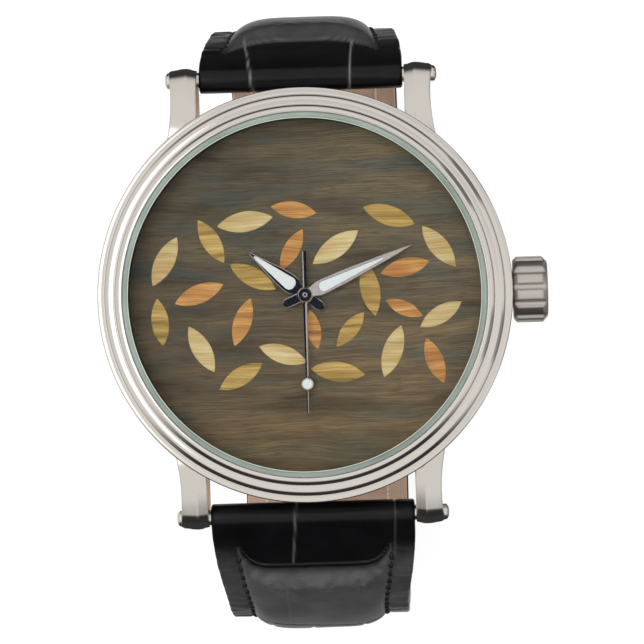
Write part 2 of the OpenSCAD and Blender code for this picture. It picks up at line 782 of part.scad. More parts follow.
module bridge_screws() {
    color("lightsteelblue")
        for (p = bridge_posts)
            translate([p[0], p[1], 0])
                difference() {
                    union() {
                        disc(0.32, bridge_z0 - 0.1, plate_z0 - 0.5);
                        disc(0.65, bridge_z0 - 0.28, bridge_z0);
                    }
                    translate([-1, -0.08, bridge_z0 - 0.5])
                        cube([2, 0.16, 0.35]);
                }
}

module circuit_board() {
    color("darkgreen")
        difference() {
            intersection() {
                disc(12.6, bridge_z0 + 0.1, bridge_z0 + 0.35);
                translate([-14, 6.6, 0])
                    cube([28, 14, 6]);
            }
            disc(6.6, 0, 5);
        }
}

module quartz_can() {
    color("silver")
        along_x(can_at[0] - can_len / 2, can_at[0] + can_len / 2, can_r, can_at[1], bridge_z0 + 0.37 + can_r);
}

module drive_coil() {
    color("orangered")
        translate([coil_at[0], coil_at[1], plate_z0 - 0.1 - coil_r])
            rotate([-90, 0, 0])
                difference() {
                    union() {
                        cylinder(r = coil_r, h = coil_len);
                        cylinder(r = coil_r + 0.05, h = 0.3);
                        translate([0, 0, coil_len - 0.3])
                            cylinder(r = coil_r + 0.05, h = 0.3);
                    }
                    translate([0, 0, -1])
                        cylinder(r = 0.32, h = coil_len + 2, $fn = 32);
                }
}

// The stator's plate carries the coil's core and rings the rotor
module stator() {
    color("slategray")
        difference() {
            union() {
                translate([rotor_at[0], rotor_at[1], 3.96])
                    cylinder(r = stator_r, h = 0.18);
                translate([coil_at[0] - 0.6, rotor_at[1] - 0.7, 3.96])
                    cube([rotor_at[0] - coil_at[0] + 0.6, 1.4, 0.18]);
                translate([coil_at[0] - 0.6, rotor_at[1] - 0.7, 3.4])
                    cube([1.2, 1.4, 0.7]);
                translate([coil_at[0], rotor_at[1] + 0.5, plate_z0 - 0.1 - coil_r])
                    rotate([-90, 0, 0])
                        cylinder(r = 0.3, h = coil_at[1] + coil_len + 0.5 - rotor_at[1], $fn = 32);
            }
            translate([rotor_at[0], rotor_at[1], 0])
                cylinder(r = magnet_r + 0.15, h = 9);
            translate([relay_at[0], relay_at[1], 0])
                cylinder(r = 0.3, h = 9, $fn = 32);
        }
}

module battery() {
    color("silver")
        translate([battery_at[0], battery_at[1], bridge_z0])
            union() {
                translate([0, 0, 0.35])
                    cylinder(r = battery_r, h = battery_h - 0.35);
                cylinder(r = battery_r - 0.8, h = 0.4);
            }
}

module battery_clamp() {
    color("khaki")
        difference() {
            union() {
                translate([battery_at[0] - 6.6, battery_at[1] - 0.8, bridge_z0 - 0.2])
                    cube([9.6, 1.6, 0.17]);
                translate([battery_at[0], battery_at[1], bridge_z0 - 0.2])
                    cylinder(r = 1.8, h = 0.17);
            }
            translate([battery_at[0], battery_at[1], 0])
                cylinder(r = 0.8, h = 5);
        }
}

module upper_strap_bar() {
    color("silver")
        bar_at(bar_y);
}

module lower_strap_bar() {
    color("silver")
        bar_at(-bar_y);
}

module bar_at(y) {
    difference() {
        along_x(-lug_x0 - 1.9, lug_x0 + 1.9, bar_r, y, bar_z);
        along_x(-lug_x0 - 3, -lug_x0 - 0.6, 0.45, y, bar_z);
        along_x(lug_x0 + 0.6, lug_x0 + 3, 0.45, y, bar_z);
    }
}

module bar_screws() {
    color("silver")
        for (sy = [-1, 1])
            for (sx = [0, 1])
                mirror([sx, 0, 0])
                    difference() {
                        translate([lug_x0, sy * bar_y, bar_z])
                            rotate([0, 90, 0])
                                rotate_extrude($fn = 48)
                                    polygon([
                                        [0, 0.7],
                                        [0.42, 0.7],
                                        [0.42, 2.45],
                                        [screw_head_r, 2.45],
                                        [screw_head_r, 2.85],
                                        [screw_head_r * 0.9, 3.0],
                                        [screw_head_r * 0.65, 3.12],
                                        [screw_head_r * 0.35, 3.18],
                                        [0, 3.2]
                                    ]);
                        translate([lug_x0 + 2.85, sy * bar_y - 1, bar_z - 0.11])
                            cube([1, 2, 0.22]);
                    }
}

module cannon_pinion() {
    color("goldenrod")
        difference() {
            union() {
                disc(cannon_tube_r, plate_z1 - 0.3, minute_hand_z + hand_t + 0.04);
                gear(12, motion_module, plate_z1 + 0.1, plate_z1 + 0.3, minute_arbor_angle, false);
            }
            disc(centre_tube_r + arbor_gap, 0, 12);
        }
}

module hour_wheel() {
    color("goldenrod")
        difference() {
            union() {
                disc(hour_tube_r, plate_z1 + 0.36, hour_hand_z + hand_t + 0.03);
                gear(40, hour_module, plate_z1 + 0.4, plate_z1 + 0.58, minute_arbor_angle, false);
            }
            disc(cannon_tube_r + arbor_gap + 0.01, 0, 12);
        }
}

module minute_wheel() {
    color("goldenrod")
        translate([minute_at[0], minute_at[1], 0])
            difference() {
                union() {
                    gear(36, motion_module, plate_z1 + 0.11, plate_z1 + 0.29, minute_arbor_angle + 180, true);
                    gear(10, hour_module, plate_z1 + 0.28, plate_z1 + 0.62, minute_arbor_angle + 180, true);
                }
                disc(0.22 + arbor_gap, 0, 12);
            }
}

module centre_wheel() {
    color("goldenrod")
        difference() {
            union() {
                disc(centre_tube_r, 4.2, minute_hand_z + hand_t + 0.1);
                gear(60, centre_module, 4.24, 4.38, third_arbor_angle, false);
            }
            disc(seconds_arbor_r + arbor_gap, 0, 12);
        }
}

module third_wheel() {
    color("goldenrod")
        translate([third_at[0], third_at[1], 0])
            union() {
                disc(0.1, bridge_z0 + 0.1, plate_z1 - 0.3);
                gear(8, centre_module, 4.15, 4.44, third_arbor_angle + 180, true);
                gear(64, third_module, 3.75, 3.89, third_arbor_angle + 180, false);
            }
}

module seconds_arbor() {
    color("silver")
        union() {
            disc(seconds_arbor_r, bridge_z0 + 0.1, second_hand_z + second_t);
            gear(8, third_module, 3.62, 3.98, third_arbor_angle, true);
            gear(48, rotor_module, 3.3, 3.44, relay_arbor_angle, false);
        }
}

module relay_wheel() {
    color("whitesmoke")
        translate([relay_at[0], relay_at[1], 0])
            union() {
                disc(0.1, bridge_z0 + 0.1, plate_z1 - 0.3);
                gear(8, rotor_module, 3.2, 3.54, relay_arbor_angle + 180, true);
                gear(30, rotor_module, 3.6, 3.74, relay_arbor_angle, false);
            }
}

module rotor() {
    color("dimgray")
        translate([rotor_at[0], rotor_at[1], 0])
            union() {
                disc(0.1, bridge_z0 + 0.1, plate_z1 - 0.3);
                gear(6, rotor_module, 3.5, 3.9, relay_arbor_angle + 180, true);
                disc(magnet_r, 3.88, 4.2);
            }
}

// Outlines of the hands point along +Y
minute_outline = [
    [0.9, 0.55], [1.45, 0.725], [4.5, 0.65], [7.0, 0.435], [8.6, 0.35], [9.8, 0.25], [10.8, 0.12]
];
minute_inner = [[2.0, 0.5], [4.5, 0.44], [6.4, 0.3], [7.6, 0.18]];
hour_outline = [[0.8, 0.62], [1.3, 0.85], [1.9, 0.925], [3.2, 0.78], [4.6, 0.5], [6.0, 0.24]];
hour_inner = [[1.5, 0.68], [2.1, 0.7], [3.2, 0.56], [4.4, 0.33], [5.4, 0.14]];

function blade(rows, y0, y1) = concat(
    [[0, y0]],
    [for (r = rows) [r[1], r[0]]],
    [[0, y1]],
    [for (i = [len(rows) - 1:-1:0]) [-rows[i][1], rows[i][0]]]
);

module hand(rows, length, inner, tail, tail_w, z, hub, bore) {
    translate([0, 0, z])
        difference() {
            union() {
                linear_extrude(height = hand_t)
                    polygon(blade(rows, 0, length));
                cylinder(r = hub, h = hand_t);
                translate([-tail_w / 2, -tail + tail_w / 2, 0])
                    cube([tail_w, tail, hand_t]);
                translate([0, -tail + tail_w / 2, 0])
                    cylinder(r = tail_w / 2, h = hand_t, $fn = 32);
            }
            translate([0, 0, -1])
                cylinder(r = bore, h = 3);
            translate([0, 0, hand_t - lume_t])
                linear_extrude(height = 1)
                    polygon(blade(inner, inner[0][0] - 0.5, inner[len(inner) - 1][0] + 0.6));
        }
}

module lume(inner, z) {
    translate([0, 0, z + hand_t - lume_t])
        linear_extrude(height = lume_t)
            polygon(blade(inner, inner[0][0] - 0.5, inner[len(inner) - 1][0] + 0.6));
}

module minute_hand() {
    color("gray")
        clock(minute_angle)
            hand(minute_outline, minute_len, minute_inner, 2.3, 0.95, minute_hand_z, 0.8, cannon_tube_r);
}

module minute_hand_lume() {
    color("honeydew")
        clock(minute_angle)
            lume(minute_inner, minute_hand_z);
}

module hour_hand() {
    color("gray")
        clock(hour_angle)
            hand(hour_outline, hour_len, hour_inner, 2.2, 1.0, hour_hand_z, 0.98, hour_tube_r);
}

module hour_hand_lume() {
    color("honeydew")
        clock(hour_angle)
            lume(hour_inner, hour_hand_z);
}

module second_hand() {
    color("gray")
        clock(second_angle)
            difference() {
                union() {
                    translate([0, 0, second_hand_z])
                        linear_extrude(height = second_t)
                            polygon([
                                [-0.2, -second_tail],
                                [0.2, -second_tail],
                                [0.185, 3],
                                [0.1, second_len],
                                [-0.1, second_len],
                                [-0.185, 3]
                            ]);
                    disc(hub_r, second_hand_z, second_hand_z + 0.17);
                    disc(0.23, second_hand_z, second_hand_z + 0.3);
                    translate([0, dot_at, second_hand_z])
                        cylinder(r = dot_r, h = second_t, $fn = 48);
                }
                disc(seconds_arbor_r, 0, second_hand_z + second_t);
                translate([0, dot_at, second_hand_z + second_t - lume_t])
                    cylinder(r = dot_r - 0.12, h = 1, $fn = 48);
            }
}

module second_hand_dot() {
    color("honeydew")
        clock(second_angle)
            translate([0, dot_at, second_hand_z + second_t - lume_t])
                cylinder(r = dot_r - 0.12, h = lume_t, $fn = 48);
}

module clutch_pinion() {
    color("silver")
        difference() {
            union() {
                along_x(clutch_x, clutch_x + 0.8, clutch_r, 0, crown_z);
                along_x(clutch_x + 0.8, clutch_x + 1.1, clutch_r - 0.25, 0, crown_z);
                along_x(clutch_x + 1.1, clutch_x + clutch_len, clutch_r, 0, crown_z);
            }
            translate([clutch_x - 0.2, -stem_square - arbor_gap, crown_z - stem_square - arbor_gap])
                cube([clutch_len + 1, 2 * (stem_square + arbor_gap), 2 * (stem_square + arbor_gap)]);
            for (a = [0, 90])
                translate([clutch_x, 0, crown_z])
                    rotate([a, 0, 0])
                        translate([-0.2, -0.15, -2])
                            cube([0.45, 0.3, 4]);
        }
}

module stem() {
    color("silver")
        difference() {
            union() {
                along_x(5.0, square_x, stem_pilot_r, 0, crown_z);
                translate([square_x - 0.05, -stem_square, crown_z - stem_square])
                    cube([10.5 - square_x + 0.1, 2 * stem_square, 2 * stem_square]);
                along_x(10.5, crown_x + 2.5, stem_r, 0, crown_z);
            }
            translate([groove_x, 0, crown_z])
                rotate([0, 90, 0])
                    translate([0, 0, -0.3])
                        tube(2, 0.2, 0, 0.6);
        }
}

module crown() {
    x1 = crown_x + crown_len;
    color("silver")
        difference() {
            translate([0, 0, crown_z])
                rotate([0, 90, 0])
                    rotate_extrude($fn = 96)
                        polygon([
                            [0, crown_x],
                            [crown_r - 0.35, crown_x],
                            [crown_r, crown_x + 0.35],
                            [crown_r, x1 - crown_chamfer],
                            [crown_r - crown_chamfer, x1],
                            [0, x1]
                        ]);
            along_x(crown_x - 1, crown_x + 1.9, crown_gasket_r + 0.02, 0, crown_z);
            along_x(crown_x, crown_x + 2.52, stem_r, 0, crown_z);
            for (i = [0:crown_flutes - 1])
                translate([crown_x - 1, 0, crown_z])
                    rotate([flute_start + 360 * i / crown_flutes, 0, 0])
                        translate([0, crown_r + 0.06, 0])
                            rotate([0, 90, 0])
                                cylinder(r = flute_r, h = crown_len + 2, $fn = 24);
        }
}

module crown_gasket() {
    color("dimgray")
        translate([crown_x + 0.2, 0, crown_z])
            rotate([0, 90, 0])
                tube(crown_gasket_r, crown_tube_r + seat_gap, 0, 0.7);
}

module setting_lever() {
    color("silver")
        difference() {
            union() {
                translate([lever_at[0], lever_at[1], bridge_z1 - 0.1])
                    cylinder(r = 0.7, h = 0.2, $fn = 48);
                translate([groove_x, lever_pin_y, bridge_z1 - 0.1])
                    cylinder(r = 0.35, h = 0.2, $fn = 32);
                translate([groove_x, lever_pin_y, bridge_z1])
                    cylinder(r = 0.14, h = crown_z + 0.3 - bridge_z1, $fn = 32);
                translate([lever_at[0], lever_at[1], bridge_z1 - 0.1])
                    rotate([0, 0, lever_swing / 2])
                        translate([-0.3, 0, 0])
                            cube([0.6, lever_arm, 0.2]);
            }
            translate([lever_at[0], lever_at[1], 0])
                cylinder(r = 0.35 + arbor_gap, h = 5, $fn = 48);
        }
}

// A strap layer is a row of cross-sections along the strap's path
module outer_skin(stations, runs, start, side) {
    points = [
        for (s = stations)
            let (
                p = at(s, runs, start),
                w = width(s),
                xp = w / 2 - stitch_in,
                xs = across(w, xp),
                h = pad(s),
                under = [for (x = xs) h * crown_of(x, xp)],
                over = [for (j = [0:16]) leather_t + under[j] - edge_drop(j)]
            )
            each ring(p, side, concat(xs, back_of(xs)), concat(under, back_of(over)))
    ];
    polyhedron(points, skin_faces(len(stations), 34));
}

module pad_skin(runs, start, side) {
    stations = [for (s = padded_stations(runs)) if (s > pad_start + 1.5 && s < pad_end - 3.5) s];
    points = [
        for (s = stations)
            let (
                p = at(s, runs, start),
                xp = width(s) / 2 - stitch_in,
                xs = xp * [-0.8, -0.6, -0.35, 0, 0.35, 0.6, 0.8],
                h = pad(s),
                over = [for (x = xs) h * crown_of(x, xp) - 2 * layer_gap]
            )
            each ring(p, side, concat(xs, back_of(xs)), concat([for (x = xs) layer_gap], back_of(over)))
    ];
    polyhedron(points, skin_faces(len(stations), 14));
}

module flat_skin(stations, runs, start, side) {
    points = [
        for (s = stations)
            let (
                p = at(s, runs, start),
                w = min(width(s) / 2, side < 0 ? half_tip(s + 0.3) : 99) - 0.15,
                xs = [for (i = [-2:2]) i * w / 2]
            )
            each ring(
                p,
                side,
                concat(xs, back_of(xs)),
                concat([for (x = xs) -lining_t], [for (x = xs) -layer_gap])
            )
    ];
    polyhedron(points, skin_faces(len(stations), 10));
}

// Cross-section of the unpadded leather, as [x, height]
function plain_section(w) = [
    [-w / 2, 0],
    [w / 2, 0],
    [w / 2, leather_t - 0.4],
    [w / 2 - 0.25, leather_t - 0.12],
    [w / 2 - 1.1, leather_t],
    [1.1 - w / 2, leather_t],
    [0.25 - w / 2, leather_t - 0.12],
    [-w / 2, leather_t - 0.4]
];

// A bent run of plain leather round a centre, from one outward angle to another
module bent(u, z, r, from, to, w) {
    translate([0, u, z])
        rotate([90, 0, 90])
            rotate([0, 0, from])
                rotate_extrude(angle = to - from, $fn = 128)
                    polygon([for (p = plain_section(w)) [r + p[1], p[0]]]);
}

module plain_run(u, z, l, w) {
    translate([0, u, z])
        rotate([-90, 0, 0])
            linear_extrude(height = l)
                polygon(plain_section(w));
}

// The loop round a bar with the plain band that leads to the padding and starts inside the loop's wall
root_start = bar_r + bar_gap + 0.1;
loop_inset = 0.05;
module strap_root(u, z, a) {
    difference() {
        union() {
            bent(u, z, bend_r, a - pad_start * deg / bend_r, a - root_start * deg / bend_r, strap_w0);
            along_x(loop_inset - strap_w0 / 2, strap_w0 / 2 - loop_inset, loop_r, bar_y, bar_z);
        }
        along_x(-20, 20, bar_r + bar_gap, bar_y, bar_z);
    }
}

function padded_stations(runs) = concat(
    steps(pad_start, pad_start + 2.4, 4),
    steps(pad_start + 3.6, runs[0][0] + runs[1][0], 13)
);

module short_strap_root() {
    color("black")
        strap_root(u12, z12, a12);
}

module short_strap_outer() {
    color("black")
        outer_skin(padded_stations(short_runs), short_runs, short_start, 1);
}

end_start = buckle_y + buckle_bar_r + bar_gap + 0.1;

module short_strap_end() {
    color("black")
        difference() {
            union() {
                bent(loop_y12 - floor_r, floor_z + floor_r, floor_r, -90, 0, strap_w1);
                plain_run(end_start, floor_z, loop_y12 - floor_r - end_start, strap_w1);
                along_x(loop_inset - strap_w1 / 2, strap_w1 / 2 - loop_inset, loop_r, buckle_y, floor_z);
            }
            along_x(-20, 20, buckle_bar_r + bar_gap, buckle_y, floor_z);
            translate([-tongue_w / 2 - 0.4, buckle_y - 3, floor_z - 2])
                cube([tongue_w + 0.8, 4.9, 4]);
        }
}

module short_strap_padding() {
    color("dimgray")
        pad_skin(short_runs, short_start, 1);
}

module short_strap_lining() {
    color("sienna")
        flat_skin(
            concat(steps(1.7, short_len - short_runs[3][0], 26), steps(short_len - 11, short_len - 2, 3)),
            short_runs,
            short_start,
            1
        );
}

// Holes are bored square to the long strap at each place
module strap_hole(s) {
    p = at(s, long_runs, long_start);
    translate([0, -p[0], p[1]])
        rotate([-p[2], 0, 0])
            translate([0, 0, -3])
                cylinder(r = hole_r, h = 6, $fn = 32);
}

module strap_holes() {
    for (i = [1:4])
        strap_hole(slot_s + i * hole_pitch);
    strap_hole(slot_s - hole_pitch);
    translate([0, slot_y, floor_long_z - 4])
        linear_extrude(height = 8)
            polygon([
                for (e = [-1, 1])
                    for (i = [-8:8])
                        let (q = hole_r * [sin(i * 11.25), cos(i * 11.25)])
                            [e * q[0], e * (q[1] + slot_len / 2 - hole_r)]
            ]);
}

module long_strap_root() {
    color("black")
        mirror([0, 1, 0])
            strap_root(u6, z6, a6);
}

module long_strap_outer() {
    color("black")
        outer_skin(padded_stations(long_runs), long_runs, long_start, -1);
}

// The tail's rounded point is cut by a cylinder that stands square to it
module long_strap_end() {
    u = loop_y12 - floor_r;
    z = floor_long_z + long_bend;
    a = (tip_s - tip_back - long_turn - long_flat) * deg / long_bend - 90;
    color("black")
        difference() {
            union() {
                mirror([0, 1, 0])
                    bent(loop_y6 - floor_r, floor_long_z + floor_r, floor_r, -90, 0, strap_w1);
                plain_run(floor_r - loop_y6, floor_long_z, long_flat, strap_w1);
                intersection() {
                    bent(u, z, long_bend, -90, a + 45, strap_w1);
                    translate([0, u, z])
                        rotate([90, 0, 90])
                            rotate([0, 0, a])
                                union() {
                                    translate([long_bend - 4, 0, 0])
                                        rotate([0, 90, 0])
                                            cylinder(r = tip_r, h = 8, $fn = 96);
                                    translate([-long_bend, -2 * long_bend, -20])
                                        cube([3 * long_bend, 2 * long_bend, 40]);
                                }
                }
            }
            strap_holes();
        }
}

module long_strap_padding() {
    color("dimgray")
        pad_skin(long_runs, long_start, -1);
}

module long_strap_lining() {
    color("sienna")
        difference() {
            flat_skin(
                concat(
                    steps(1.7, long_turn, 26),
                    steps(long_turn + 4, long_turn + long_flat, 5),
                    steps(long_turn + long_flat + 2, tip_s, 4),
                    steps(tip_s + 1, long_len - 0.9, 5)
                ),
                long_runs,
                long_start,
                -1
            );
            strap_holes();
        }
}

module keeper(y, roof) {
    w = strap_w1 / 2 + soft_gap;
    floor_in = floor_long_z - leather_t - soft_gap;
    translate([0, y + keeper_w / 2, 0])
        rotate([90, 0, 0])
            difference() {
                union() {
                    translate([-w - keeper_t + 0.8, base_z, 0])
                        cube([2 * (w + keeper_t) - 1.6, roof + 1.2 - base_z, keeper_w]);
                    translate([-w - keeper_t, base_z + 0.8, 0])
                        cube([2 * (w + keeper_t), roof + 1.2 - base_z - 1.6, keeper_w]);
                    for (cx = [-1, 1])
                        for (cz = [base_z + 0.8, roof + 0.4])
                            translate([cx * (w + keeper_t - 0.8), cz, 0])
                                cylinder(r = 0.8, h = keeper_w, $fn = 32);
                }
                translate([-w, floor_in, -1])
                    cube([2 * w, roof - floor_in, keeper_w + 2]);
            }
}

module fixed_keeper() {
    color("black")
        keeper(fixed_keeper_y, floor_z + lining_t);
}

module free_keeper() {
    color("black")
        keeper(free_keeper_y, floor_z + lining_t + soft_gap);
}

module buckle_frame() {
    x0 = buckle_in / 2;
    x1 = x0 + buckle_arm_w;
    color("silver")
        difference() {
            union() {
                along_x(-x1, x1, rail_r, rail_y, rail_z);
                for (x = [-x1, x0]) {
                    along_x(x, x + buckle_arm_w, 1.2, buckle_y, floor_z);
                    translate([x, 0, 0])
                        rotate([90, 0, 90])
                            linear_extrude(height = buckle_arm_w)
                                polygon([
                                    [buckle_y + 0.55, floor_z - 1.06],
                                    [buckle_y - 0.2, floor_z + 1.18],
                                    [rail_y - 0.3, rail_z + 0.74],
                                    [rail_y + 0.1, rail_z - 0.79]
                                ]);
                }
            }
            along_x(-30, 30, buckle_bar_r + 0.02, buckle_y, floor_z);
            translate([-tongue_w / 2 - 0.15, rail_y - 2, base_z - 1])
                cube([tongue_w + 0.3, 4, 1 + tongue_t + 0.05]);
        }
}

module buckle_bar() {
    color("silver")
        along_x(-buckle_in / 2 - 1.3, buckle_in / 2 + 1.3, buckle_bar_r, buckle_y, floor_z);
}

tongue_path = [
    [buckle_y - 0.3, floor_z - 0.95],
    [buckle_y - 1.5, floor_z - 1.75],
    [buckle_y - 2.2, floor_z - 3.0],
    [buckle_y - 2.9, floor_z - 4.1],
    [buckle_y - 4.4, base_z + tongue_t / 2 + 0.25],
    [rail_y + 1.5, base_z + tongue_t / 2],
    [rail_y - 0.9, base_z + tongue_t / 2]
];
function unit(v) = v / norm(v);
function side_of(path, i) = let (
        a = unit(path[min(i + 1, len(path) - 1)] - path[max(i - 1, 0)])
    ) [-a[1], a[0]];
function ribbon(path, t) = concat(
    [for (i = [0:len(path) - 1]) path[i] + side_of(path, i) * t / 2],
    [for (i = [len(path) - 1:-1:0]) path[i] - side_of(path, i) * t / 2]
);

module buckle_tongue() {
    color("silver")
        difference() {
            union() {
                along_x(-tongue_w / 2, tongue_w / 2, 1.2, buckle_y, floor_z);
                translate([-tongue_w / 2, 0, 0])
                    rotate([90, 0, 90])
                        linear_extrude(height = tongue_w)
                            polygon(ribbon(tongue_path, tongue_t));
            }
            along_x(-5, 5, buckle_bar_r + 0.05, buckle_y, floor_z);
        }
}

mid_case();
bezel();
crystal();
crystal_gasket();
dial_ring();
dial_plate();
dial_veneer();
inlay_blond();
inlay_gold();
inlay_russet();
case_back();
case_back_gasket();
movement_holder();
main_plate();
train_bridge();
bridge_screws();
circuit_board();
quartz_can();
drive_coil();
stator();
battery();
battery_clamp();
crown_tube();
upper_strap_bar();
lower_strap_bar();
bar_screws();
cannon_pinion();
minute_hand();
minute_hand_lume();
hour_wheel();
hour_hand();
hour_hand_lume();
minute_wheel();
seconds_arbor();
second_hand();
second_hand_dot();
third_wheel();
centre_wheel();
relay_wheel();
rotor();
clutch_pinion();
crown();
crown_gasket();
stem();
setting_lever();
short_strap_root();
short_strap_outer();
short_strap_end();
short_strap_padding();
short_strap_lining();
fixed_keeper();
buckle_frame();
buckle_bar();
buckle_tongue();
free_keeper();
long_strap_root();
long_strap_outer();
long_strap_end();
long_strap_padding();
long_strap_lining();
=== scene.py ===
import json
from math import acos, copysign, cos, exp, pi, radians, sin, sqrt, tan

import bmesh
import bpy
from mathutils import Matrix, Vector, noise


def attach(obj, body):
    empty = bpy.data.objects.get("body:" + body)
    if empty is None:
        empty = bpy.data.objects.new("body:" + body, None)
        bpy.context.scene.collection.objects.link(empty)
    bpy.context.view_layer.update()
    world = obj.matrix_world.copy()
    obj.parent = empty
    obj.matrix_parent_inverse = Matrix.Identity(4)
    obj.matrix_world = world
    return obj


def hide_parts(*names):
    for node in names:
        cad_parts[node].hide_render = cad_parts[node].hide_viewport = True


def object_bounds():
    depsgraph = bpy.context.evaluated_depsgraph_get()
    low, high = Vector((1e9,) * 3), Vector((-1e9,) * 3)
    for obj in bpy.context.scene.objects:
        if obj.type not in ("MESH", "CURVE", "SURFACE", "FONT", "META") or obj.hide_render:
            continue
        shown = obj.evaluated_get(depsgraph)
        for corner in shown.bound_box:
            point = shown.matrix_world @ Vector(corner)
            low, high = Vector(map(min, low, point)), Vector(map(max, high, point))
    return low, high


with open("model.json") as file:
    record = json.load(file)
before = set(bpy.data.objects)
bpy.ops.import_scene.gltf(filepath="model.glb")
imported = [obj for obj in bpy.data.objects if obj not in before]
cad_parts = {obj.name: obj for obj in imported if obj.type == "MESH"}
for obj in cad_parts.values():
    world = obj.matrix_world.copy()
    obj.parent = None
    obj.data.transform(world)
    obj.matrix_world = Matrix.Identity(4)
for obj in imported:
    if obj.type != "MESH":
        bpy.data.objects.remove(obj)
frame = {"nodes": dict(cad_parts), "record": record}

# Round steel wristwatch with a marquetry dial on a padded, embossed leather strap
mm = 0.001  # lengths of the watch are in millimetres and become metres where a mesh is made
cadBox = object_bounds()
scene = bpy.context.scene
scene.view_settings.view_transform = "Standard"


def linear(hexText):  # an sRGB hex colour as the linear colour that shaders use
    channels = [int(hexText[i:i + 2], 16) / 255 for i in (1, 3, 5)]
    return [c / 12.92 if c <= 0.04045 else ((c + 0.055) / 1.055) ** 2.4 for c in channels] + [1]


def addNode(tree, kind, *inputs, stops=(), **named):
    # one shader node: inputs fill its sockets in use in order, a capital names a socket and the rest are
    # settings; a node as an input gives its first output in use
    node = tree.nodes.new("ShaderNode" + kind)
    for name in [name for name in named if name[0].islower()]:
        setattr(node, name, named.pop(name))
    used = [socket for socket in node.inputs if socket.enabled]
    for socket, value in [*zip(used, inputs), *((node.inputs[name], named[name]) for name in named)]:
        if isinstance(value, bpy.types.Node):
            value = next(output for output in value.outputs if output.enabled)
        if isinstance(value, bpy.types.NodeSocket):
            tree.links.new(value, socket)
        else:
            socket.default_value = linear(value) if isinstance(value, str) else value
    if stops:
        ramp = node.color_ramp.elements
        ramp[0].position, ramp[1].position = stops[0][0], stops[-1][0]
        for place, shade in stops[1:-1]:
            ramp.new(place)
        for stop, (place, shade) in zip(ramp, stops):
            stop.color = linear(shade) if isinstance(shade, str) else (shade, shade, shade, 1)
    return node


def emptyTree(owner):
    owner.use_nodes = True
    owner.node_tree.nodes.clear()
    return owner.node_tree


def newMaterial(name):  # with its tree and millimetre coordinates
    material = bpy.data.materials.new(name)
    tree = emptyTree(material)
    place = addNode(tree, "Mapping", addNode(tree, "TexCoord").outputs["Object"], Scale=(1 / mm,) * 3)
    return material, tree, place


def withSurface(material, colour, roughness, bump=None, metallic=0, **more):
    # a Principled surface with these values and inputs
    values = {"Metallic": metallic, "Base Color": colour, "Roughness": roughness, **more}
    if bump:
        values["Normal"] = bump
    shader = addNode(material.node_tree, "BsdfPrincipled", **values)
    addNode(material.node_tree, "OutputMaterial", shader)
    return material


def addObject(name, data):
    made = bpy.data.objects.new(name, data)
    scene.collection.objects.link(made)
    return made


def addSheet(name, corners, faces, material):
    mesh = bpy.data.meshes.new(name)
    mesh.from_pydata(corners, [], faces)
    mesh.materials.append(material)
    return addObject(name, mesh)


def smooth(t):
    t = min(1, max(0, t))
    return t * t * (3 - 2 * t)


def bell(distance, width):
    return exp(-(distance / width) ** 2)


def roundAngles(count):
    return [2 * pi * k / count for k in range(count)]


# Camera over the dial, leaning a little and rolled as the photograph is
view = {
    "picture": 644, "lens": 199.85, "sensor": 36, "bezel": (0, 0, 8.65), "bezelPixel": (304.65, 294.7),
    "distance": 340, "leanToCrown": 1.7, "leanToSix": 0.7, "roll": 1.65, "clip": (0.01, 10)
}


def setCamera():
    lean = [tan(radians(view[way])) for way in ("leanToCrown", "leanToSix")]
    back = Vector((lean[0], -lean[1], 1)).normalized()
    right = Vector((0, 1, 0)).cross(back).normalized()
    level = Matrix((right, back.cross(right), back)).transposed()
    turn = level @ Matrix.Rotation(radians(-view["roll"]), 3, "Z")
    middle = view["picture"] / 2
    scale = view["distance"] / (view["lens"] / view["sensor"] * view["picture"])
    offset = Vector((view["bezelPixel"][0] - middle, middle - view["bezelPixel"][1], 0)) * scale
    spot = Vector(view["bezel"]) - turn @ (offset - Vector((0, 0, view["distance"])))
    data = bpy.data.cameras.new("overDial")
    data.lens, data.sensor_width = view["lens"], view["sensor"]
    data.clip_start, data.clip_end = view["clip"]
    camera = addObject("overDial", data)
    camera.matrix_world = Matrix.Translation(spot * mm) @ turn.to_4x4()
    bpy.context.scene.camera = camera


# A white tent over a white table, in metres
studio = {
    "roomLight": 0.5, "keyPower": 2.3, "keySize": 0.5, "keyAt": (-0.1, 0.1, 0.7), "sideGlow": 1.35,
    "sideSize": 0.28, "sideAt": (-0.235, 0.03, 0.65), "tableReach": 0.13, "tableGlow": 0.82,
    "tableShade": "#a6a6a6", "tablePlain": "#e9e9e9"
}
# Grey paper in the tent, seen in the steel alone: a foot, a wall dark at 6 o'clock and, low down, at 12,
# two dark stands and a roof; a step gives two places and two greys
sheet = {
    "radius": 0.35, "roofHeight": 0.9, "footHole": 0.05, "footLift": 0.0015, "sides": 64,
    "frontGrey": 0.04, "sideGrey": 0.9, "footGrey": 0.055,
    "front": (-0.8, -0.5, 0, 1), "back": (0.6, 0.85, 0, 1),  # by how far the way out faces 12 o'clock
    "skirt": (0, 0.16, 0.06, 0.9), "fade": (0.15, 0.42, 0, 1),  # by height
    "foot": (-0.08, -0.03, 0.9, 0.25), "roof": (-0.02, 0.1, 1, 0.84),  # by x and by y
    "stands": ((54, 0.25), (103, 0.4)), "standEdge": (0.985, 0.997),  # degrees clockwise from 12, and grey
    "patches": ((0.05, -0.035, 0.82), (0.055, 0.035, 1.12)), "patchReach": 0.07  # on the roof, and how bright
}


def backgroundRays(tree):  # 1 for the camera, and for what steel and glass show of the background
    rays = addNode(tree, "LightPath").outputs
    some = addNode(tree, "Math", rays["Is Camera Ray"], rays["Is Glossy Ray"], operation="MAXIMUM")
    return addNode(tree, "Math", some, rays["Is Transmission Ray"], operation="MAXIMUM")


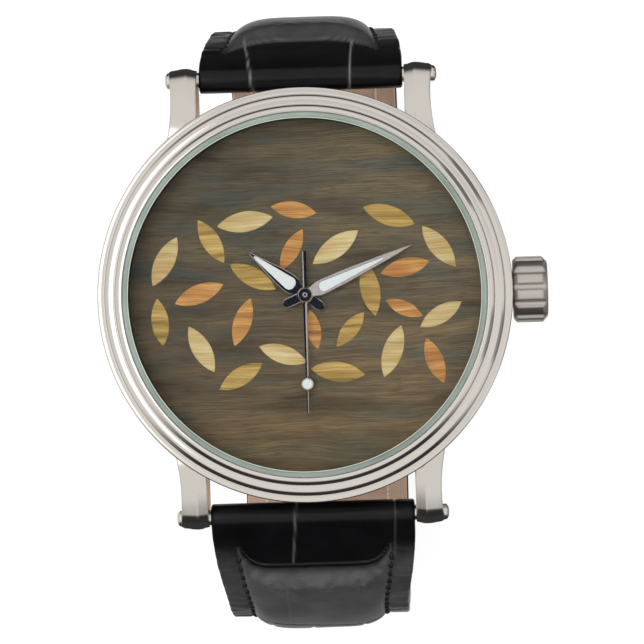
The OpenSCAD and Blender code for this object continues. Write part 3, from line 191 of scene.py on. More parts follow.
def setTent():
    scene.world = bpy.data.worlds.new("tent")
    tree = emptyTree(scene.world)
    level = addNode(tree, "MapRange", backgroundRays(tree), 0, 1, studio["roomLight"], 1)
    addNode(tree, "OutputWorld", addNode(tree, "Background", "#ffffff", level))


def addLamp(name, size, power, at):
    data = bpy.data.lights.new(name, "AREA")
    data.shape, data.size, data.energy = "SQUARE", size, power
    lamp = addObject(name, data)
    lamp.location = at
    lamp.rotation_euler = Vector(at).to_track_quat("Z", "Y").to_euler()
    lamp.visible_camera = False
    return lamp


def setLamps():
    key = addLamp("keyLamp", studio["keySize"], studio["keyPower"], studio["keyAt"])
    key.visible_glossy = False
    size = studio["sideSize"]
    addLamp("sideBox", size, studio["sideGlow"] * pi * size ** 2, studio["sideAt"])


def setPaper():
    # matt paper that only glossy surfaces mirror: it draws the dark lines in the steel and shades its flats
    material = bpy.data.materials.new("greyPaper")
    tree = emptyTree(material)
    spot = addNode(tree, "TexCoord").outputs["Object"]
    x, y, z = addNode(tree, "SeparateXYZ", spot).outputs
    way = addNode(tree, "VectorMath", addNode(tree, "CombineXYZ", x, y), operation="NORMALIZE")
    side = addNode(tree, "SeparateXYZ", way).outputs["Y"]
    soft = {"interpolation_type": "SMOOTHSTEP"}
    step = {}
    for name, value in (("front", side), ("back", side), ("skirt", z), ("fade", z), ("foot", x), ("roof", y)):
        step[name] = addNode(tree, "MapRange", value, *sheet[name], **soft)
    beside = addNode(tree, "Mix", step["back"], sheet["sideGrey"], step["skirt"])
    wall = addNode(tree, "Mix", step["front"], sheet["frontGrey"], beside)
    for clock, grey in sheet["stands"]:
        at = (sin(radians(clock)), cos(radians(clock)), 0)
        facing = addNode(tree, "VectorMath", way, at, operation="DOT_PRODUCT")
        stand = addNode(tree, "MapRange", facing, *sheet["standEdge"], 1, grey, **soft)
        wall = addNode(tree, "Math", wall, stand, operation="MULTIPLY")
    wall = addNode(tree, "Mix", step["fade"], wall, 1)
    foot = addNode(tree, "Mix", step["back"], step["foot"], sheet["footGrey"])
    foot = addNode(tree, "Mix", step["front"], sheet["footGrey"], foot)
    roof = step["roof"]
    for patchX, patchY, bright in sheet["patches"]:
        away = addNode(tree, "VectorMath", spot, (patchX, patchY, sheet["roofHeight"]), operation="DISTANCE")
        patch = addNode(tree, "MapRange", away, 0, sheet["patchReach"], bright, 1, **soft)
        roof = addNode(tree, "Math", roof, patch, operation="MULTIPLY")
    low = addNode(tree, "Math", z, 0, operation="LESS_THAN")
    high = addNode(tree, "Math", z, sheet["roofHeight"] - 0.01, operation="GREATER_THAN")
    level = addNode(tree, "Mix", high, addNode(tree, "Mix", low, wall, foot), roof)
    addNode(tree, "OutputMaterial", addNode(tree, "Emission", "#ffffff", level))
    floor = cadBox[0][2] + sheet["footLift"]
    radius, roofHeight = sheet["radius"], sheet["roofHeight"]
    profile = ((sheet["footHole"], floor), (radius, floor), (radius, roofHeight), (0.001, roofHeight))
    corners, faces = [], []
    for k, a in enumerate(roundAngles(sheet["sides"])):
        corners += [(r * cos(a), r * sin(a), height) for r, height in profile]
        near, far = 4 * k, 4 * ((k + 1) % sheet["sides"])
        faces += [(near + i, near + i + 1, far + i + 1, far + i) for i in range(3)]
    paper = addSheet("paper", corners, faces, material)
    paper.visible_camera = paper.visible_diffuse = paper.visible_transmission = paper.visible_shadow = False


def setTable():
    # white laminate: seen as plain white, and still shaded where the watch stands
    material = bpy.data.materials.new("whiteTable")
    tree = emptyTree(material)
    plain = addNode(tree, "BsdfDiffuse", studio["tablePlain"])
    shaded = addNode(tree, "BsdfDiffuse", studio["tableShade"])
    glow = addNode(tree, "Emission", "#ffffff", studio["tableGlow"])
    bright = addNode(tree, "AddShader", shaded, glow)
    addNode(tree, "OutputMaterial", addNode(tree, "MixShader", backgroundRays(tree), plain, bright))
    reach, level = studio["tableReach"], cadBox[0][2]
    corners = [(x * reach, y * reach, level) for x, y in ((-1, -1), (1, -1), (1, 1), (-1, 1))]
    table = addSheet("table", corners, [(0, 1, 2, 3)], material)


setCamera()
setTent()
setLamps()
setPaper()
setTable()
print("camera, tent, lamps, paper and table are set")


# Finishes of the case and the movement
def polishedSteel(name, tint, low, high, edge=0.12):
    # 316L stainless, lathe turned and buffed: a clear mirror, a little warm, with faint buffing haze
    material, tree, place = newMaterial(name)
    haze = addNode(tree, "TexNoise", place, Scale=1 / 2.5, Detail=4)
    rough = addNode(tree, "MapRange", haze, 0, 1, low, high)
    # buffing lines are microns wide, and drawn at 0.08 mm to show
    lines = addNode(tree, "TexNoise", place, Scale=1 / 0.08, Detail=2)
    edges = addNode(tree, "Bevel", edge * mm, samples=6)  # buffing rounds every edge a little
    bump = addNode(tree, "Bump", Strength=0.012, Distance=0.02 * mm, Height=lines, Normal=edges)
    return withSurface(material, tint, rough, bump, 1)


def mineralGlass():
    # flat mineral glass, coated against glare: clear, with a faint film where it was wiped
    material, tree, place = newMaterial("coatedMineralGlass")
    smear = addNode(tree, "TexNoise", place, Scale=1 / 9, Detail=3)
    film = addNode(tree, "MapRange", smear, 0, 1, 0, 0.012)
    pane = addNode(tree, "BsdfPrincipled", **{
        "Base Color": "#fbfcfb", "Transmission Weight": 1, "Roughness": film, "IOR": 1.45,
        "Specular IOR Level": 0.15
    })
    clear = addNode(tree, "BsdfTransparent", "#fcfdfc")
    # lamps shine through it to the dial, and seen square on it is all but invisible
    rays = addNode(tree, "LightPath").outputs
    lit = addNode(tree, "Math", rays["Is Shadow Ray"], rays["Is Diffuse Ray"], operation="MAXIMUM")
    edgeOn = addNode(tree, "LayerWeight", 0.5).outputs["Facing"]  # the same from both sides, so no veil
    steep = addNode(tree, "Math", edgeOn, 5, operation="POWER")
    through = addNode(tree, "Math", steep, -0.97, 0.97, operation="MULTIPLY_ADD")
    share = addNode(tree, "Math", lit, through, operation="MAXIMUM")
    addNode(tree, "OutputMaterial", addNode(tree, "MixShader", share, pane, clear))
    return material


def bevelGlassWithPaintedLight():
    # the ground and polished bevel: the light caught and bent in the edge of the pane is painted in as a
    # cloudy grey-green, lighter towards the rim
    material, tree, place = newMaterial("bevelGlassPaintedLight")
    cloud = addNode(tree, "TexNoise", place, Scale=1 / 5, Detail=3)
    x, y, z = addNode(tree, "SeparateXYZ", place).outputs
    out = addNode(tree, "VectorMath", addNode(tree, "CombineXYZ", x, y), operation="LENGTH")
    # painted light: lighter towards the rim
    outer = addNode(tree, "MapRange", out, 16.8, 17.4, -0.2, 0.5)
    total = addNode(tree, "Math", outer, cloud, operation="ADD")
    shade = addNode(tree, "ValToRGB", total, stops=[(0.3, "#98a99e"), (0.95, "#d9e7de")])
    return withSurface(material, shade, 0.22, **{"Transmission Weight": 0.2, "IOR": 1.45})


def grainedSurface(name, colour, dark, roughness, metallic, grain, depth):
    # one base for small hidden parts: a fine even grain that shifts the colour and breaks the gloss
    material, tree, place = newMaterial(name)
    spots = addNode(tree, "TexNoise", place, Scale=1 / grain, Detail=3)
    shade = addNode(tree, "ValToRGB", spots, stops=[(0.3, dark), (0.7, colour)])
    rough = addNode(tree, "MapRange", spots, 0, 1, roughness * 0.8, roughness * 1.2)
    bump = addNode(tree, "Bump", Strength=0.3, Distance=depth * mm, Height=spots)
    return withSurface(material, shade, rough, bump, metallic)


def brushedBrass():
    # rolled brass sheet, grained in straight lines 0.1 mm apart: soft gold streaks
    material, tree, place = newMaterial("brushedBrass")
    stretch = addNode(tree, "Mapping", place, Scale=(0.04, 1, 1))
    lines = addNode(tree, "TexNoise", stretch, Scale=1 / 0.1, Detail=2)
    shade = addNode(tree, "ValToRGB", lines, stops=[(0.3, "#b08d4c"), (0.7, "#d8b56c")])
    rough = addNode(tree, "MapRange", lines, 0, 1, 0.25, 0.4)
    return withSurface(material, shade, rough, metallic=1)


def threaded(name, metallic, roughness, wave, stops, strength, depth):
    # what wound wire and sewing thread share: a wave across the turns that shades them and stands up
    material, tree, place = newMaterial(name)
    lay = addNode(tree, "Mapping", place, Rotation=wave["tilt"]) if "tilt" in wave else place
    lines = addNode(
        tree, "TexWave", lay, Scale=wave["scale"], Distortion=wave["bend"], bands_direction=wave["way"]
    ).outputs["Fac"]
    shade = addNode(tree, "ValToRGB", lines, stops=stops)
    bump = addNode(tree, "Bump", Strength=strength, Distance=depth * mm, Height=lines)
    return withSurface(material, shade, roughness, bump, metallic)


def woundCopper():
    # enamelled wire 0.05 mm thick in close turns, drawn at 0.12 mm so that the turns show
    wave = {"scale": 0.314 / 0.12, "bend": 0, "way": "Y"}
    return threaded("enamelledCopper", 1, 0.3, wave, [(0.2, "#5a2613"), (0.8, "#c8703c")], 0.6, 0.03)


def waxedThread(name, dark, light):
    # polyester sewing thread in three plies, waxed: the ply is drawn at 0.25 mm
    wave = {"scale": 0.314 / 0.25, "bend": 1, "way": "X", "tilt": (0.6, 0.5, 0.7)}
    return threaded(name, 0, 0.55, wave, [(0.2, dark), (0.8, light)], 0.4, 0.05)


# Woods of the dial, with the grain along X: four colours, the sizes of fibres, their length and the bands,
# how dark the pores are, and the gloss
woodTraits = ("dark", "mid", "light", "streak", "fibre", "length", "band", "pores", "gloss")
woods = {name: dict(zip(woodTraits, traits)) for name, *traits in (
    ("walnut", "#54493a", "#766957", "#8c7b60", "#5c6664", 0.12, 5, 2.2, 0.6, 0.5),
    ("maple", "#b99a63", "#d6bd86", "#e6d2a2", "#caa268", 0.13, 4, 0.9, 0.1, 0.45),
    ("olivewood", "#8a7038", "#c09a55", "#d9b775", "#9f7f3e", 0.14, 3.6, 0.55, 0.25, 0.45),
    ("cherry", "#9c6636", "#cd9150", "#dfae6c", "#b3713b", 0.13, 3.8, 0.65, 0.3, 0.45)
)}


def woodVeneer(name):
    # sliced veneer, sanded and oiled: bands along the grain, short dark pores and a satin glow
    wood = woods[name]
    material, tree, place = newMaterial(name + "Veneer")
    drift = addNode(tree, "TexNoise", place, Scale=1 / 7, Detail=2).outputs["Color"]
    wave = addNode(tree, "VectorMath", drift, 1.1, operation="SCALE")
    bent = addNode(tree, "VectorMath", place, wave, operation="ADD")
    flow = 1 / wood["length"]
    layers = []
    for shift, stretch, detail, rough in (
        ((0, 0, 0), (flow * 0.35, 1 / wood["band"], 1), 3, 0.6),
        ((3, 7, 0), (flow * 0.5, 0.5, 1), 2, 0.5),
        ((0, 0, 0), (flow * 0.6, 1 / wood["fibre"], 1), 2, 0.5),
        ((11, 2, 0), (0.5, 1 / 0.1, 1), 1, 0.5)
    ):
        grain = addNode(tree, "Mapping", bent, Location=shift, Scale=stretch)
        layers.append(addNode(tree, "TexNoise", grain, Scale=1, Detail=detail, Roughness=rough))
    bands, streaks, fibres, pores = layers
    blend = {"data_type": "RGBA"}
    tones = [(0.3, wood["dark"]), (0.5, wood["mid"]), (0.72, wood["light"])]
    base = addNode(tree, "ValToRGB", bands, stops=tones)
    where = addNode(tree, "MapRange", streaks, 0.5, 0.68, 0, 0.75)
    tinted = addNode(tree, "Mix", where, base, wood["streak"], **blend)
    fibreShade = addNode(tree, "ValToRGB", fibres, stops=[(0.34, 0.3), (0.66, 0.7)])
    fibred = addNode(tree, "Mix", 0.6, tinted, fibreShade, blend_type="OVERLAY", **blend)
    pits = addNode(tree, "MapRange", pores, 0.55, 0.64, 0, wood["pores"])
    colour = addNode(tree, "Mix", pits, fibred, wood["dark"], **blend)
    if name == "walnut":  # painted light: warmer and lighter at the bottom, where the dial catches light, and greener at the top
        x, y, z = addNode(tree, "SeparateXYZ", place).outputs
        paintedBottomLight = addNode(tree, "ValToRGB", addNode(tree, "MapRange", y, 15, -16), stops=[
            (0, "#827f78"), (0.35, "#807d75"), (0.65, "#8b8072"), (1, "#9c8b6e")
        ])
        withPaintedBottomLight = addNode(tree, "Mix", 0.8, colour, paintedBottomLight, blend_type="OVERLAY", **blend)
        # painted light: the colour is multiplied from 0.85 at 9 o'clock to 1.55 at 3 o'clock
        side = addNode(tree, "MapRange", x, -17, 17, 0.85, 1.55)
        colour = addNode(tree, "Mix", 1, withPaintedBottomLight, side, blend_type="MULTIPLY", **blend)
    bump = addNode(tree, "Bump", Strength=0.35, Distance=0.02 * mm, Height=pits, invert=True)
    return withSurface(material, colour, wood["gloss"], bump, **{"Specular IOR Level": 0.2})


# Leathers of the strap
def embossedCalf():
    # calf split pressed with a scale pattern, then lacquered: near black, glossy, with worn pale joints; the
    # padding's grey is painted sheen, and the crease's lip has a painted highlight
    material, tree, place = newMaterial("embossedBlackCalf")
    pillowAndSheen, joint = [
        addNode(tree, "Attribute", attribute_name=name).outputs["Fac"] for name in ("pillowAndSheen", "joint")
    ]
    mottle = addNode(tree, "TexNoise", place, Scale=1 / 3, Detail=4)
    # the padding's grey base colour is painted sheen; the flat face keeps the leather's own near black
    flat, full = [
        addNode(tree, "ValToRGB", mottle, stops=[(0.3, dark), (0.7, light)])
        for dark, light in (("#08080a", "#101013"), ("#3a3939", "#504f4f"))
    ]
    body = addNode(tree, "Mix", pillowAndSheen, flat, full, data_type="RGBA")
    # pale where the joints are worn, and along the crease's lip as a painted highlight
    worn = addNode(tree, "Mix", joint, body, "#8d8a88", data_type="RGBA")
    # pore creases of calf are 0.2 to 0.3 mm apart, and are drawn a little wider to show
    creases = addNode(tree, "TexVoronoi", place, Scale=1 / 0.42, feature="DISTANCE_TO_EDGE")
    fine = addNode(tree, "TexNoise", place, Scale=1 / 0.18, Detail=3)
    height = addNode(tree, "Math", fine, 0.35, creases, operation="MULTIPLY_ADD")
    # the lacquered face is smooth and dark, and the crumpled padding matter with a silvery sheen, which is
    # also painted into its grey base colour
    strength, gloss, shine, sheen = [
        addNode(tree, "MapRange", pillowAndSheen, 0, 1, *ends)
        for ends in ((0.05, 0.4), (0.3, 0.46), (0.2, 0.5), (0, 0.16))
    ]
    uneven = addNode(tree, "MapRange", mottle, 0, 1, -0.05, 0.05)
    rough = addNode(tree, "Math", gloss, uneven, operation="ADD")
    bump = addNode(tree, "Bump", Strength=strength, Distance=0.09 * mm, Height=height)
    return withSurface(material, worn, rough, bump, **{
        "Specular IOR Level": shine, "Sheen Weight": sheen, "Sheen Roughness": 0.4
    })


def liningCalf():
    # vegetable tanned lining, smooth side out: warm tan with soft blotches and fine hair pores
    material, tree, place = newMaterial("tanLiningCalf")
    blotch = addNode(tree, "TexNoise", place, Scale=1 / 4, Detail=4)
    shade = addNode(tree, "ValToRGB", blotch, stops=[(0.25, "#bb9882"), (0.5, "#ceae96"), (0.75, "#dcbfa5")])
    pores = addNode(tree, "TexNoise", place, Scale=1 / 0.2, Detail=2)
    bump = addNode(tree, "Bump", Strength=0.2, Distance=0.05 * mm, Height=pores)
    return withSurface(material, shade, 0.55, bump, **{"Specular IOR Level": 0.4})


finishes = {
    "case_steel": polishedSteel("polishedCaseSteel", "#d3cdc6", 0.05, 0.12),
    "buckle_steel": polishedSteel("polishedBuckleSteel", "#d3cfca", 0.08, 0.16),
    "hand_steel": polishedSteel("polishedHandSteel", "#aea5a3", 0.06, 0.12),
    "iron": polishedSteel("nickelPlatedIron", "#b9b8b4", 0.18, 0.3),
    "glass": mineralGlass(),
    "gasket_clear": grainedSurface("whiteNylonGasket", "#dfe6e1", "#cfd8d2", 0.4, 0, 0.6, 0.01),
    "gasket_black": grainedSurface("blackNitrileRubber", "#1b1b1b", "#101010", 0.7, 0, 0.3, 0.03),
    "ring_black": grainedSurface("satinDarkRing", "#2c302d", "#1f2321", 0.45, 0, 0.3, 0.01),
    "brass": brushedBrass(),
    **{wood: woodVeneer(wood) for wood in woods},
    "white_plastic": grainedSurface("mouldedWhiteAcetal", "#e8e7e2", "#dcdad4", 0.45, 0, 0.8, 0.01),
    "board": grainedSurface("greenGlassFibreBoard", "#1d6b3c", "#124826", 0.4, 0, 0.5, 0.02),
    "copper": woundCopper(),
    "lume": grainedSurface("whiteLuminousPaint", "#f2f4f8", "#e2e5ea", 0.7, 0, 0.12, 0.02),
    "magnet": grainedSurface("sinteredMagnet", "#3a3a3c", "#26262a", 0.5, 0.6, 0.2, 0.02),
    "strap_leather": embossedCalf(),
    "lining_leather": liningCalf(),
    "foam": grainedSurface("greyWoolFelt", "#8b8a88", "#6b6a68", 0.95, 0, 0.35, 0.15)
}
paintedDarkSteel = polishedSteel("steelPaintedDark", "#1d2028", 0.1, 0.18)  # steel painted near black with a blue tint: the dark reflection of black-polished faces, painted into the colour
bevelGlass = bevelGlassWithPaintedLight()
# a pale strip painted on the bevel's inner edge as its highlight
arrisPaintedHighlight = grainedSurface("glassArrisPaintedHighlight", "#e6ecdc", "#d3dccb", 0.25, 0, 1.5, 0.002)
blackThread = waxedThread("blackWaxedThread", "#070707", "#191919")
tanThread = waxedThread("paleTanThread", "#d8c2ae", "#e9dac9")
lugSteel = polishedSteel("polishedLugSteel", "#cdc7c0", 0.06, 0.14, 0.26)  # hand buffed, with rounder edges
crownSteel = polishedSteel("crownSteelPaintedDarker", "#bfb8b1", 0.3, 0.42, 0.35)  # small ribs keep polishing haze, and the tint is painted darker than the case steel's, for the shade on the crown

for subpart in frame["record"]["subparts"]:  # every CAD node gets its finish
    mesh = frame["nodes"][subpart["node"]].data
    mesh.materials.clear()
    mesh.materials.append(finishes[subpart["material_slot"]])
frame["nodes"]["mid_case"].data.materials[0] = lugSteel
frame["nodes"]["crown"].data.materials[0] = crownSteel
print("finishes are made and given to the CAD nodes")


def meshFrom(name, bm):  # from millimetres to metres
    bmesh.ops.recalc_face_normals(bm, faces=bm.faces)
    bmesh.ops.scale(bm, vec=(mm, mm, mm), verts=bm.verts)
    mesh = bpy.data.meshes.new(name)
    bm.to_mesh(mesh)
    bm.free()
    return mesh


def makePiece(name, bm, body, slotName, replaced=(), materials=None, angle=32, clock=0):
    # a finished mesh riding on its body, turned clockwise by clock and with edges sharp from angle on
    if clock:
        turn = Matrix.Rotation(-radians(clock), 3, "Z")
        bmesh.ops.rotate(bm, verts=bm.verts, cent=(0, 0, 0), matrix=turn)
    bmesh.ops.remove_doubles(bm, verts=bm.verts, dist=1e-5)
    mesh = meshFrom(name, bm)
    for material in materials or [finishes[slotName]]:
        mesh.materials.append(material)
    mesh.shade_smooth()
    mesh.set_sharp_from_angle(angle=radians(angle))
    piece = addObject(name, mesh)
    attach(piece, body)
    if replaced:
        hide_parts(*replaced)
    return piece


def addRings(rings, bm=None, closed=False, finish=None):
    # skins over a row of closed cross-sections; finish picks each face's material
    bm = bm or bmesh.new()
    rows = [[bm.verts.new(point) for point in ring] for ring in rings]
    count = len(rows[0])
    for i, (near, far) in enumerate(zip(rows, rows[1:] + rows[:1] if closed else rows[1:])):
        for j in range(count):
            k = (j + 1) % count
            face = bm.faces.new((near[j], near[k], far[k], far[j]))
            face.material_index = finish(i, j) if finish else 0
    if not closed:
        bm.faces.new(rows[0])
        bm.faces.new(rows[-1][::-1])
    return bm


def addLathe(profile, segments, bm=None, finish=None, centre=(0, 0, 0)):
    # turns a profile of (radius, height) about a vertical axis
    x, y, z = centre
    rings = []
    for a in roundAngles(segments):
        rings.append([(x + r * cos(a), y + r * sin(a), z + height) for r, height in profile])
    return addRings(rings, bm, closed=True, finish=finish)


# Bezel: three bands, each rolling over to the foot of the next
bezel = {
    "rim": 19.8, "lip": 17.38, "lipRound": (0.05, 0.06), "tops": (9.4, 9, 8.6), "feet": (18.12, 19.12),
    "roll": 0.72, "rollSteps": 14, "crown": 0.02, "rimRound": 0.16, "seat": 6.6, "bevel": 0.15,
    "collar": (18.35, 7.45), "gasket": (17.625, 9), "sides": 288
}


def makeBezel():
    lip, rim, seat, corner, bevel = (bezel[size] for size in ("lip", "rim", "seat", "rimRound", "bevel"))
    first, second, third = bezel["tops"]
    inner, outer = bezel["feet"]
    profile = [(lip, first - bezel["lipRound"][1]), (lip + bezel["lipRound"][0], first)]
    for foot, high, low, middle in (
        (inner, first, second, (inner + outer - bezel["roll"]) / 2 + 0.05),
        (outer, second, third, (outer + rim) / 2)
    ):
        for i in range(bezel["rollSteps"] + 1):  # flat at first, then ever steeper down to the foot
            t = i / bezel["rollSteps"]
            profile.append((foot + bezel["roll"] * (t - 1), high - (high - low) * (0.05 * t + 0.95 * t ** 3)))
        profile += [(foot + 0.05, low + 0.005), (middle, low + bezel["crown"])]
    for i in range(7):
        a = radians(4 + 86 * i / 6)
        profile.append((rim - corner + corner * sin(a), third - corner + corner * cos(a)))
    collar, gasket = bezel["collar"], bezel["gasket"]
    profile += [
        (rim, seat + bevel), (rim - bevel, seat), (collar[0], seat), collar, (gasket[0], collar[1]), gasket,
        (lip, gasket[1])
    ]
    makePiece("bezelPolished", addLathe(profile, bezel["sides"]), "case", "case_steel", ["bezel"])


# Glass: a flat pane with a bevel, and a highlight painted on the bevel's inner edge
glass = {"radius": 17.33, "low": 8.1, "high": 9.6, "bevel": 0.48, "arris": 0.06, "sides": 192}


def makeCrystal():
    low, high, rim = glass["low"], glass["high"], glass["radius"]
    inner = rim - glass["bevel"]
    finish = (0, 1, 1, 2, 0, 0)  # underside, rim, bevel, arris, face and the closed centre
    bm = addLathe([
        (0.001, low), (rim, low), (rim, high - glass["bevel"]), (inner, high - 0.01),
        (inner - glass["arris"], high), (0.001, high)
    ], glass["sides"], finish=lambda i, j: finish[j])
    # the arris takes the pale painted highlight
    panes = [finishes["glass"], bevelGlass, arrisPaintedHighlight]
    makePiece("crystalPane", bm, "case", "glass", ["crystal"], panes, 20)


# Hands: rows of (distance from the hub, half width) along each blade, tail first
minuteHand = {
    "angle": 66.5, "low": 7.25, "high": 7.4, "tail": 2.3, "tailHalf": 0.475, "tip": 11.35,
    "rows": [(0.3, 0.48), (0.9, 0.56), (1.45, 0.725), (3, 0.715), (4.5, 0.65), (7, 0.46), (8.6, 0.34),
             (9.8, 0.23), (10.8, 0.1), (11.35, 0.012)],
    "window": (1.5, 8.35), "windowHalf": (0.55, 0.12), "rim": 0.1
}
hourHand = {
    "angle": 308.5, "low": 6.93, "high": 7.08, "tail": 2.2, "tailHalf": 0.5, "tip": 7.3,
    "rows": [(0.3, 0.52), (0.8, 0.64), (1.3, 0.86), (1.9, 0.925), (3.2, 0.79), (4.6, 0.52), (6, 0.25),
             (7.3, 0.015)],
    "window": (1.3, 6.15), "windowHalf": (0.71, 0.15), "rim": 0.1
}
secondHand = {
    "angle": 180, "low": 7.57, "high": 7.67, "tail": 4.2, "tip": 11.4, "tailHalf": 0.2,
    "waistHalf": 0.185, "tipHalf": 0.09, "dotAt": 8.5, "dotRadius": 0.65, "hub": 0.69, "pin": 0.23
}
# plain hand steel, and the same steel painted dark for a dark reflection
handSteels = [finishes["hand_steel"], paintedDarkSteel]


def between(rows, y):  # smooth curve through the rows
    if y <= rows[0][0]:
        return rows[0][1]
    for i in range(len(rows) - 1):
        if y <= rows[i + 1][0]:
            p0, p1, p2, p3 = rows[max(i - 1, 0)], rows[i], rows[i + 1], rows[min(i + 2, len(rows) - 1)]
            span = p2[0] - p1[0]
            t = (y - p1[0]) / span
            m1 = (p2[1] - p0[1]) / (p2[0] - p0[0]) * span
            m2 = (p3[1] - p1[1]) / (p3[0] - p1[0]) * span
            return ((2 * t ** 3 - 3 * t ** 2 + 1) * p1[1] + (t ** 3 - 2 * t ** 2 + t) * m1
                    + (3 * t ** 2 - 2 * t ** 3) * p2[1] + (t ** 3 - t ** 2) * m2)
    return rows[-1][1]


def handHalf(hand, y):
    fromTail = y + hand["tail"]
    if fromTail < hand["tailHalf"]:  # the tail ends in a half circle
        return sqrt(max(1e-4, hand["tailHalf"] ** 2 - (hand["tailHalf"] - fromTail) ** 2))
    return between(hand["rows"], y)


def windowHalf(hand, y):  # the luminous window: round at the hub, tapering to a small round end
    first, last = hand["window"]
    wide, narrow = hand["windowHalf"]
    if not first < y < last:
        return 0
    half = wide + (narrow - wide) * (y - first) / (last - first)
    for gap, radius in ((y - first, wide * 0.9), (last - y, narrow * 3)):
        if gap < radius:
            half *= sqrt(max(0, 1 - (1 - gap / radius) ** 2))
    return half


def crossSection(y, right, middle=()):  # a hand's right side, mirrored to the left
    return [(-x, y, z) for x, z in right[::-1]] + [(x, y, z) for x, z in (*middle, *right)]


def makeHand(name, hand, paintedDarkTop, unit):
    low, high = hand["low"], hand["high"]
    edge, recess, count = high - 0.05, high - 0.04, 150
    first, last = hand["window"]
    start = -hand["tail"] + 0.01
    ys = [start + (hand["tip"] - start) * i / count for i in range(count + 1)]
    ys = sorted(ys + [first + 0.02 * k for k in range(1, 8)])
    rings = []
    for y in ys:
        half = handHalf(hand, y)
        inner = max(half - hand["rim"], half * 0.4)
        gap = max(0, min(windowHalf(hand, y), inner - 0.02))
        floor = recess if gap > 0 else high
        rings.append(crossSection(y, [(gap, floor), (gap, high), (inner, high), (half, edge), (half, low)]))
    # the top faces picked here take the steel painted dark for a dark reflection, and the window's inner
    # walls (3 and 5) take it as well
    bm = addRings(rings, finish=lambda i, j: paintedDarkTop(ys[i]) if j in (2, 6) else int(j in (3, 5)))
    body, node, angle = unit + "_group", unit + "_hand", hand["angle"]
    makePiece(name, bm, body, "hand_steel", [node], handSteels, 20, angle)
    # luminous paint fills the window, a hair proud of its edge
    fill = []
    for i in range(61):
        y = first + 0.03 + (last - first - 0.06) * i / 60
        half = max(0.01, windowHalf(hand, y) - 0.03)
        right = [(half * 0.75, high + 0.008), (half, high - 0.015), (half, recess)]
        fill.append(crossSection(y, right, [(0, high + 0.012)]))
    makePiece(name + "Lume", addRings(fill), body, "lume", [node + "_lume"], clock=angle)


def makeSecondHand():
    hand = secondHand
    low, high = hand["low"], hand["high"]
    stretch = [(-hand["tail"], hand["tailHalf"]), (3, hand["waistHalf"]), (hand["tip"], hand["tipHalf"])]
    rings = []
    for i in range(81):
        y = -hand["tail"] + (hand["tail"] + hand["tip"]) * i / 80
        half = between(stretch, y)
        ridge = 0.35 * half if y < 0 else 0
        rings.append(crossSection(y, [(half, low + 0.03), (half, low)], [(ridge, high)]))
    # one flank is painted light and the other painted dark, as polished flanks look under a tent
    bm = addRings(rings, finish=lambda i, j: int((j == 2) != (i < 22)))
    dot, hub, pin = hand["dotRadius"], hand["hub"], hand["pin"]
    dotSpot = (0, hand["dotAt"], low)
    # bevels of the dot's rim and faces of the hub and pin take the steel painted dark too
    addLathe([
        (0.001, 0), (dot, 0), (dot, 0.06), (dot - 0.07, 0.1), (dot - 0.16, 0.1), (dot - 0.17, 0.06),
        (0.001, 0.06)
    ], 48, bm, lambda i, j: int(j in (2, 4)), dotSpot)
    addLathe([
        (0.001, 0), (hub, 0), (hub, 0.11), (hub - 0.07, 0.17), (hub - 0.1, 0.15), (pin + 0.06, 0.15),
        (pin + 0.03, 0.12), (pin, 0.12), (pin, 0.27), (pin - 0.04, 0.3), (pin - 0.12, 0.3),
        (pin - 0.13, 0.24), (0.001, 0.24)
    ], 64, bm, lambda i, j: int(j in (3, 4, 5, 10, 11)), (0, 0, low))
    angle, body = hand["angle"], "second_group"
    makePiece("secondHand", bm, body, "hand_steel", ["second_hand"], handSteels, 20, angle)
    bm = addLathe([
        (0.001, 0.06), (dot - 0.18, 0.06), (dot - 0.19, 0.09), (dot * 0.5, 0.11), (0.001, 0.115)
    ], 48, centre=dotSpot)
    makePiece("secondHandLume", bm, body, "lume", ["second_hand_dot"], clock=angle)


makeBezel()
makeCrystal()
# the minute hand's tail and the hour hand's whole top are painted dark, for a dark reflection
makeHand("minuteHand", minuteHand, lambda y: int(y < 0.35), "minute")
makeHand("hourHand", hourHand, lambda y: 1, "hour")
makeSecondHand()
print("bezel, glass and hands are made")


# The strap follows the same path as its CAD solids, in a plane where u points away from the case
strap = {
    "barY": 21.2, "barZ": 2.4, "bend": 22, "wideAtTwelve": 26.1, "wideAtSix": 31.2, "floor": -45,
    "floorBend": 14.5, "loop": 1.32, "bore": 0.84, "endBore": 0.7, "leather": 0.9, "lining": 0.85,
    "layerGap": 0.03, "softGap": 0.35, "widthAtLugs": 19.7, "widthAtBuckle": 17.9, "taper": 15,
    "stitchIn": 2.3, "buckleY": -3, "slotPast": 2, "tail": 35, "holePitch": 6, "hole": 1.05,
    "slotLength": 3.2, "edgeRound": 0.3, "tongueGap": 1.15, "barLoop": (-35, -270), "buckleLoop": (90, -145),
    "loopFade": 4.6, "finePart": (0, 34, 0.24), "coarsePitch": 0.4
}
# The padding's crease, rise and fade along the strap, and the felt's first and last station and pitch
pad = {
    "start": 5.5, "crease": 0.7, "rise": 1.7, "fadeFrom": 20, "fade": 13, "height": 1.3,
    "felt": (7.1, 29.4, 0.8)
}
layerStep = strap["loop"] + strap["softGap"] + strap["lining"]
longFloor = strap["floor"] - layerStep


# A half's path: its start at the bar, then runs of (length, turn a millimetre)
def strapHalf(name, side, widest, floor, more, **shape):
    bend, floorBend = strap["bend"], strap["floorBend"]
    swing = acos((strap["barY"] - (widest - bend)) / bend)
    drop = strap["barZ"] - bend * sin(swing)
    return {
        "name": name, "side": side, "body": name + "_strap",
        "start": (strap["barY"], strap["barZ"], swing - pi / 2),
        "runs": [
            (bend * swing, -1 / bend), (drop - floor - floorBend, 0),
            (floorBend * pi / 2, -1 / floorBend), *more
        ],
        **shape
    }


